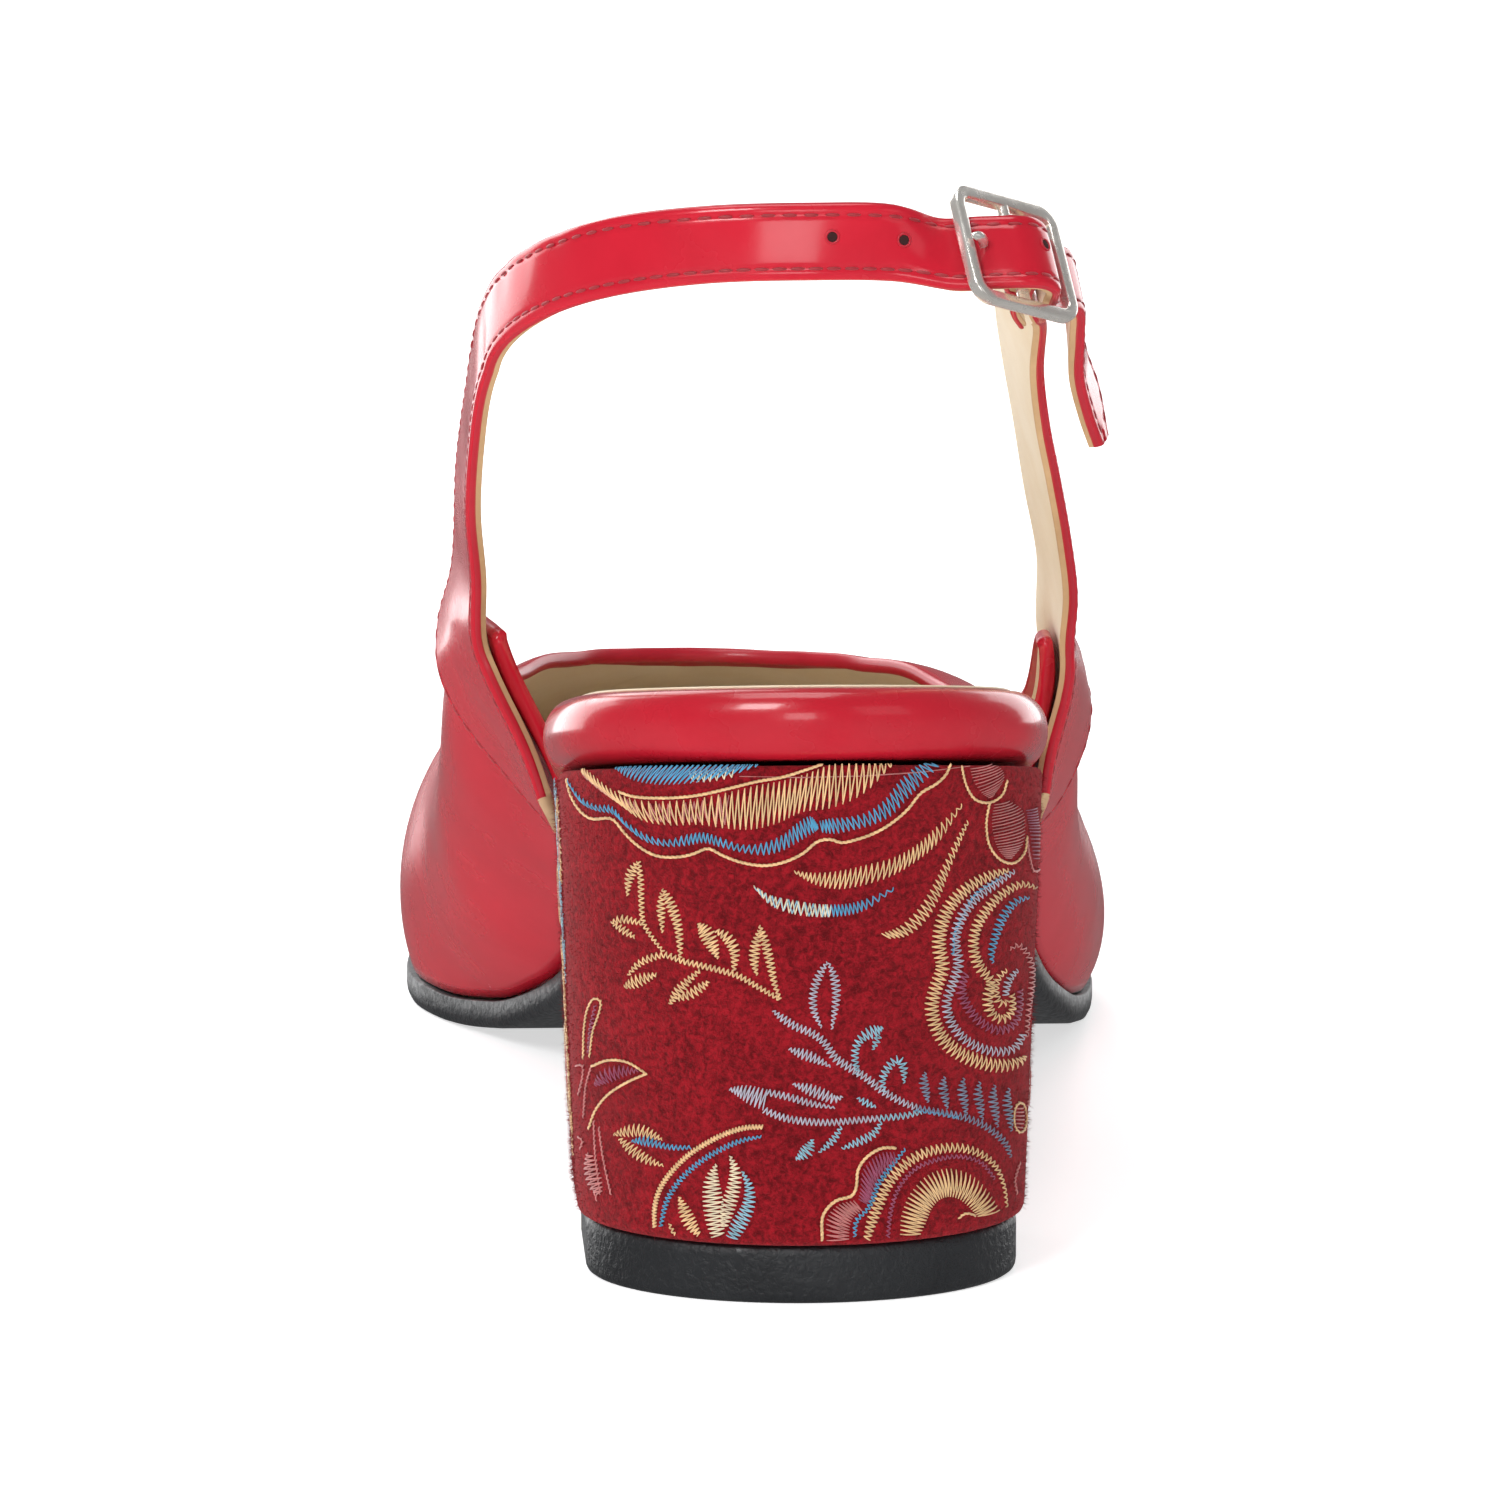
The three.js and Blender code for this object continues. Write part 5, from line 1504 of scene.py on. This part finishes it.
    def chart_left(self) -> None:
        """The plant, the bud and the arched leaf at the lower left."""
        cream, rose, mauve, blue = Thread.CREAM, Thread.ROSE, Thread.MAUVE, Thread.BLUE
        self.rope([(75, 215), (78, 120), (90, 55), (110, 25), (130, 35), (125, 70), (105, 130), (95, 210)],
                  cream, 13, 1.9)
        self.frond([(92, 200, 12), (98, 120, 14), (112, 48, 8)], mauve, 11)
        self.rope([(100, 240), (150, 220), (210, 225), (270, 260)], cream, 13, 2.3)
        self.rope([(272, 262), (210, 290), (150, 330), (112, 380), (92, 436)], cream, 13, 2.3)
        self.rope([(100, 240), (84, 300), (76, 400)], rose, 13, 1.7)
        self.frond([(112, 298, 12), (140, 272, 48), (190, 256, 40), (246, 252, 10)], mauve, 11)
        self.rope([(52, 240), (72, 232), (74, 268), (60, 330)], rose, 13, 1.7)
        self.rope([(58, 460), (74, 470), (66, 500)], rose, 13, 1.7)
        for start, end in (((108, 410), (128, 640)), ((124, 430), (162, 640)), ((88, 512), (118, 660))):
            self.rope([start, ((start[0] + end[0]) / 2 - 4, (start[1] + end[1]) / 2), end], rose, 15, 1.8)
        self.frond([(92, 515, 20), (98, 560, 46), (112, 610, 46), (124, 640, 20)], rose, 13, 1.5)
        self.frond([(170, 454, 6), (205, 444, 34), (250, 440, 42), (296, 456, 26), (322, 470, 5)], cream, 11)
        self.frond([(188, 466, 12), (225, 500, 36), (270, 530, 32), (326, 551, 6)], cream, 11)
        self.frond([(226, 474, 6), (266, 472, 34), (310, 485, 22), (360, 494, 18), (412, 493, 12)], blue, 10)
        self.frond([(636, 429, 14), (580, 432, 16), (520, 450, 16), (460, 480, 16), (400, 520, 16),
                    (350, 570, 16),
                    (315, 622, 16), (298, 680, 15), (297, 744, 12)], cream, 8, 1.7)
        self.frond([(632, 459, 8), (570, 472, 16), (500, 502, 18), (430, 546, 18), (372, 602, 18),
                    (336, 660, 18),
                    (316, 742, 12)], blue, 10)
        for path, colour in (
                ([(490, 546, 6), (476, 600, 48), (480, 660, 64), (486, 720, 60), (495, 772, 42)],
                 Thread.IVORY),
                ([(534, 520, 6), (550, 570, 36), (545, 620, 44), (528, 680, 46), (514, 742, 24)],
                 Thread.IVORY),
                ([(572, 568, 6), (594, 620, 30), (590, 680, 42), (562, 735, 50), (538, 778, 36)], Thread.SKY),
                ([(374, 648, 6), (390, 690, 38), (408, 730, 44), (436, 768, 16)], cream),
                ([(344, 732, 6), (352, 752, 14), (362, 768, 6)], cream)):
            self.frond(path, colour, 11, 1.4)

    def chart_rosette(self) -> None:
        """The rosette at the lower right, and the oval beside it."""
        cream, mauve, blue, rose = Thread.CREAM, Thread.MAUVE, Thread.BLUE, Thread.ROSE
        self.rope([(1052, 495), (1010, 495), (965, 520), (935, 560), (928, 620), (915, 645), (865, 660),
                   (825, 705),
                   (822, 785)], cream, 14, 2.8)
        self.zigzag([(1046, 508), (1010, 510), (975, 532), (948, 568), (942, 620), (936, 655)],
                    [(1056, 545), (1022, 568), (1000, 598), (986, 630), (978, 660), (962, 672)], mauve, 10)
        self.zigzag([(920, 660), (872, 674), (838, 714), (836, 785)], [(950, 690), (922, 710), (908, 745),
                                                                       (906, 785)], rose, 10)
        self.frond([(1082, 498, 8), (1036, 556, 18), (998, 606, 20), (980, 655, 20), (962, 690, 14),
                    (930, 722, 16),
                    (924, 774, 10)], blue, 11)
        self.frond([(962, 782, 22), (976, 730, 34), (998, 672, 38), (1022, 616, 38), (1062, 564, 36),
                    (1110, 526, 34),
                    (1172, 502, 32), (1240, 494, 30), (1306, 508, 26), (1360, 546, 20), (1390, 610, 12),
                    (1400, 680, 8)], cream, 12, 1.4)
        self.frond([(1028, 776, 12), (1036, 700, 14), (1062, 620, 14), (1112, 562, 14), (1180, 532, 16),
                    (1250, 522, 14), (1318, 540, 14), (1362, 592, 10)], mauve, 11)
        self.zigzag([(1066, 766), (1072, 700), (1100, 636), (1150, 582), (1215, 560), (1285, 578),
                     (1340, 628),
                     (1378, 690)], [(1128, 770), (1150, 722), (1166, 684), (1192, 656), (1222, 648),
                                    (1258, 660),
                                    (1288, 688), (1312, 712)], cream, 12, 1.4)
        self.rope([(1250, 716), (1262, 703), (1280, 700), (1302, 708)], cream, 12, 2.0)
        oval = [(1441 + 20 * math.cos(a), 400 + 48 * math.sin(a)) for a in np.linspace(0, 2 * math.pi, 13)]
        self.rope(oval, cream, 12, 2.0)
        self.satin([(1430, 372), (1426, 400), (1430, 430)], [(1452, 370), (1456, 400), (1450, 432)], rose, 9)
        self.rope([(1470, 240), (1476, 300), (1464, 362)], rose, 13, 1.9)
        self.rope([(1440, 540), (1424, 600), (1432, 640)], rose, 13, 1.9)

    def chart_sides(self) -> None:
        """Plain sprigs that carry the pattern round both sides, placed by u and height."""
        for sign in (-1, 1):
            for low, high, colour in ((12, 34, Thread.CREAM), (32, 52, Thread.SKY)):
                stalk = [(sign * (1.2 + 0.55 * t + 0.08 * math.sin(5 * t)), low + (high - low) * t)
                         for t in np.linspace(0, 1, 7)]
                self.side_stem(stalk, colour)
            for u, z, size, colour in ((1.35, 48, 5.0, Thread.CREAM), (1.75, 20, 5.5, Thread.IVORY),
                                       (1.8, 40, 3.6, Thread.CREAM)):
                self.side_flower(sign * u, z, size, colour)

    def side_throw(self, ends: Array, colour: Thread) -> None:
        """Keeps threads whose ends are already u and height, marked by a third number."""
        for a, b in zip(ends[:-1], ends[1:]):
            self.threads.append((np.array([*a, 1.0]), np.array([*b, 1.0]), self.fine, colour.value))

    def side_stem(self, stalk: Spots, colour: Thread) -> None:
        """A stem with paired leaves on a side of the heel."""
        line = Curve(np.array(stalk, float)).at(np.linspace(0, 1, 60))
        sway = np.where(np.arange(60) % 2, 0.025, -0.025)[:, None] * np.array([1, 0])
        self.side_throw(line + sway, colour)
        for index in range(6, 58, 8):
            u, z = line[index]
            for side in (-1, 1):
                way = np.array([side * 0.16, 3.2])
                t = np.linspace(0, 1, 16)[:, None]
                swing = np.where(np.arange(16) % 2, 1.0, -1.0)[:, None] * np.sin(t * math.pi)
                self.side_throw(np.array([u, z]) + way * t + swing * np.array([0.035, 0.7 * -side]), colour)

    def side_flower(self, u: float, z: float, size: float, colour: Thread) -> None:
        """A round flower of fanned threads on a side of the heel."""
        angles = np.linspace(0, 2 * math.pi, 56)
        for inner, outer, tone in ((0.2, 0.55, Thread.ROSE), (0.66, 1.0, colour)):
            radius = np.where(np.arange(56) % 2, inner, outer) * size
            self.side_throw(np.stack([u + radius * np.cos(angles) / 20, z + radius * np.sin(angles)], axis=1),
                            tone)

    def build(self, finishes: Wardrobe) -> None:
        """Lays every thread on the heel as a low arched strand."""
        self.chart_scallops()
        self.chart_petals()
        self.chart_swirl()
        self.chart_cream_sprig()
        self.turn_to(560, 990)
        self.chart_lilac_sprig()
        self.chart_left()
        self.chart_rosette()
        self.chart_sides()
        ends = np.array([[a[:2], b[:2]] for a, b, _, _ in self.threads], float)
        placed = np.array([len(a) == 3 for a, _, _, _ in self.threads])
        u, z = self.heel.from_photo(ends)
        u[placed], z[placed] = ends[placed, :, 0], ends[placed, :, 1]
        top = LAST.bed(self.heel.at(u, z)[0][..., 1]) - 0.12
        low = self.heel.lift + 0.4
        keep = np.any(z < top, axis=1) & np.any(z > low, axis=1)
        u, z, top = u[keep], z[keep], top[keep]
        start, reach = z[:, ::-1], z - z[:, ::-1]
        reach = np.where(np.abs(reach) < 1e-6, 1e-6, reach)
        held = np.clip(z, low, top)
        part = np.where(held == z, 1.0, (held - start) / reach)
        u, z = u[:, ::-1] + (u - u[:, ::-1]) * part, held
        share = np.linspace(0, 1, 5)
        path_u = u[:, :1] + (u[:, 1:] - u[:, :1]) * share
        path_z = z[:, :1] + (z[:, 1:] - z[:, :1]) * share
        points, normals = self.heel.at(path_u, path_z)
        radius = np.array([thick for _, _, thick, _ in self.threads])[keep] * PIXEL / 2
        tint = np.array([colour for _, _, _, colour in self.threads])[keep]
        length = np.linalg.norm(points[:, -1] - points[:, 0], axis=1)
        arch = np.sin(share * math.pi)[None, :] ** 0.6 * np.minimum(0.26, 0.1 + 0.05 * length)[:, None]
        points = points + normals * (arch + 0.03)[..., None]
        way = unit(np.gradient(points, axis=1))
        side = unit(np.cross(normals, way))
        rise = np.cross(way, side)
        turns = np.radians([0, 60, 120, 180, 240, 300])
        body = np.array([0.7, 1, 1.05, 1, 0.7])[None, :, None, None] * radius[:, None, None, None]
        rings = points[:, :, None] + body * (
            np.cos(turns)[None, None, :, None] * side[:, :, None] * 1.1
            + np.sin(turns)[None, None, :, None] * rise[:, :, None] * 0.8)
        strand = len(share) * len(turns)
        one = np.array(tube(rings[0], True, False))
        every = (one[None] + (np.arange(len(rings)) * strand)[:, None, None]).reshape(-1, 4)
        made = piece("embroidery", rings, every.tolist(), [finishes.yarn])
        dye = made.data.color_attributes.new("thread", "FLOAT_COLOR", "POINT")
        rng = np.random.default_rng(3)
        tone = tint * rng.uniform(0.8, 1.08, (len(tint), 1))
        rgba = np.concatenate([np.repeat(tone, strand, axis=0), np.ones((len(tint) * strand, 1))], axis=1)
        dye.data.foreach_set("color", rgba.ravel())
        seat([made], "red_suede")
        log.info("embroidery: %d threads", len(rings))


# ---------------------------------------------------------------- holes and setting

@dataclass
class Punching:
    """The holes in the sling, each a near-black dimple of painted shade in place of a real opening, with a
    pressed rim.
    """

    spots: tuple[tuple[float, float], ...] = ((827, 237), (904, 240), (1046, 244))
    radius: float = 0.62

    def build(self, strap: Strap, finishes: Wardrobe) -> None:
        """Puts a hole where each falls on the strap in the photograph."""
        share = np.linspace(0.25, 0.75, 41)[None, :] + 0 * strap.width[:, None]
        points, outs = strap.at(share)
        face = points + outs * (strap.wall * 0.52)[:, None, None]
        for number, (column, row) in enumerate(self.spots):
            at = CAMERA.nearest(face, column, row)
            spot, out = face.reshape(-1, 3)[at], outs.reshape(-1, 3)[at]
            turn = Vector(out).to_track_quat("Z", "Y").to_matrix().to_4x4()
            place = Matrix.Translation(Vector(spot) * MM) @ turn
            # the dimple's near-black is painted shade for the hole's inside; the rim takes the folded edge's
            # darker red, also painted shade
            for kind, finish in (("hole", finishes.dark), ("hole_rim", finishes.fold)):
                bpy.ops.object.select_all(action="DESELECT")
                if kind == "hole":
                    bpy.ops.mesh.primitive_uv_sphere_add(segments=20, ring_count=10, radius=self.radius * MM)
                    bpy.context.object.scale = (1, 1, 0.16)
                else:
                    bpy.ops.mesh.primitive_torus_add(major_radius=self.radius * 1.12 * MM,
                                                     minor_radius=0.14 * MM,
                                                     major_segments=24, minor_segments=8)
                made = bpy.context.object
                made.name = made.data.name = f"{kind}_{number + 1}"
                bpy.ops.object.transform_apply(scale=True)
                made.matrix_world = place
                bpy.ops.object.transform_apply(location=True, rotation=True)
                bpy.ops.object.shade_smooth()
                made.data.materials.append(finish)
                seat([made], "red_leather")
        log.info("holes: %d", len(self.spots))


@dataclass
class Studio:
    """A pale floor, soft lights and a white surround."""

    size: float = 6.0
    glow: float = 0.62
    surround: float = 0.2
    look_at: tuple[float, float, float] = (0.0, 0.03, 0.06)

    def build(self) -> None:
        """Makes the floor, the lights and the world."""
        bpy.ops.mesh.primitive_plane_add(size=self.size)
        floor = bpy.context.object
        floor.name = "floor"
        paint = Paint("pale_floor")
        colour = paint.blend(paint.noise(3), (0.93, 0.93, 0.94), (0.95, 0.95, 0.955))
        paint.plug(paint.shader, "Base Color", colour)
        paint.shader.inputs["Emission Color"].default_value = (1, 1, 1, 1)
        floor.data.materials.append(paint.finish(Roughness=0.4, Specular_IOR_Level=0.3,
                                                 Emission_Strength=self.glow))
        floor.visible_glossy = False
        # name, place and side in metres, watts
        lights = (
            ("key", (-0.56, -1.0, 0.95), 0.46, 10.0), ("fill", (0.9, -1.0, 0.6), 0.6, 0.7),
            ("top", (-0.1, 0.05, 1.4), 0.8, 8.0), ("front", (-0.1, -1.7, 0.3), 0.5, 3.4),
            ("inside", (-0.5, 1.2, 0.9), 0.9, 6.0), ("left", (-0.95, 1.3, 0.32), 1.2, 13.0),
            ("right", (0.95, 1.35, 0.35), 1.1, 9.0),
        )
        for name, place, size, power in lights:
            data = bpy.data.lights.new(name, "AREA")
            data.size, data.energy = size, power
            lamp = bpy.data.objects.new(name, data)
            lamp.location = place
            lamp.rotation_euler = (Vector(place) - Vector(self.look_at)).to_track_quat("Z", "Y").to_euler()
            bpy.context.collection.objects.link(lamp)
        world = bpy.data.worlds.new("white")
        world.use_nodes = True
        world.node_tree.nodes["Background"].inputs[0].default_value = (1, 1, 1, 1)
        world.node_tree.nodes["Background"].inputs[1].default_value = self.surround
        scene = bpy.context.scene
        scene.world = world
        scene.view_settings.view_transform = "Standard"
        scene.view_settings.exposure = 0.0
        log.info("floor and lights")


def straps(buckle: Buckle) -> tuple[Strap, Strap]:
    """The sling and the buckle strap, with the part's own rows."""
    arch = np.stack([buckle.row(buckle.reach * a, -buckle.under + (buckle.over + buckle.under) * o,
                                STRAP_WIDTH,
                                STRAP_SLIP * s) for a, o, s in ARCH])
    rows = np.concatenate([band_rows(FIRST_RIB - OVERHANG, *INNER_SEAM), free_rows(SLING_ROWS), arch,
                           free_rows(TAIL_ROWS)])
    wrinkles = [(0.44, 0.85, 0.006, 0.18), (0.47, 0.8, 0.005, 0.14), (0.5, 0.9, 0.006, 0.16),
                (0.53, 0.75, 0.005, 0.12),
                (0.4, 0.3, 0.008, 0.15), (0.57, 0.6, 0.006, 0.1), (0.61, 0.85, 0.006, 0.12),
                (0.36, 0.7, 0.007, 0.14)]
    sling = Strap("sling", "sling_strap", rows, stitched=(0.0, 1.0), wrinkles=wrinkles)
    width = STRAP_WIDTH - 2 * LAST.clearance
    base = band_rows(LAST_RIB + OVERHANG, *OUTER_SEAM)
    climb = free_rows(OUTER_ROWS)
    reach, under = buckle.reach + LAST.clearance, buckle.under
    entry = [buckle.row(reach, -under - STRAP_WALL - 2 * LAST.clearance, width)]
    entry += [buckle.row(reach * a, -under * d, width) for a, d in ((0.66, 1.2), (0.4, 0.62))]
    wrap = [buckle.row(buckle.fold * math.cos(a), buckle.fold * math.sin(a), width)
            for a in np.radians(np.linspace(60, 285, 8))]
    end = [buckle.row(reach * a, -under * d - 2 * FOLD_WALL, width) for a, d in ((0.36, 0.62), (0.62, 1.2))]
    end += [buckle.row(reach * 0.95, -under - STRAP_WALL - 2 * FOLD_WALL - LAST.clearance, width)]
    rows = np.concatenate([base, climb, entry, wrap, end])
    thin = (len(base) + len(climb)) / len(rows)
    return sling, Strap("outer_strap", "buckle_strap", rows, outwards=-1.0, thin_from=thin,
                        stitched=(0.0, 0.62))


def main() -> None:
    """Builds the shoe in order."""
    logging.basicConfig(level=logging.INFO, format="%(name)s %(message)s")
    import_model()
    finishes = Wardrobe()
    CAMERA.build()
    Studio().build()
    Footing().build(finishes)
    heel = HeelBlock()
    heel.build(finishes)
    Upper().build(finishes)
    buckle = Buckle()
    buckle.build(finishes)
    sling, outer_strap = straps(buckle)
    sling.build(finishes)
    outer_strap.build(finishes)
    Punching().build(sling, finishes)
    Embroidery(heel).build(finishes)
    log.info("sizes written")


if __name__ == "__main__":
    main()
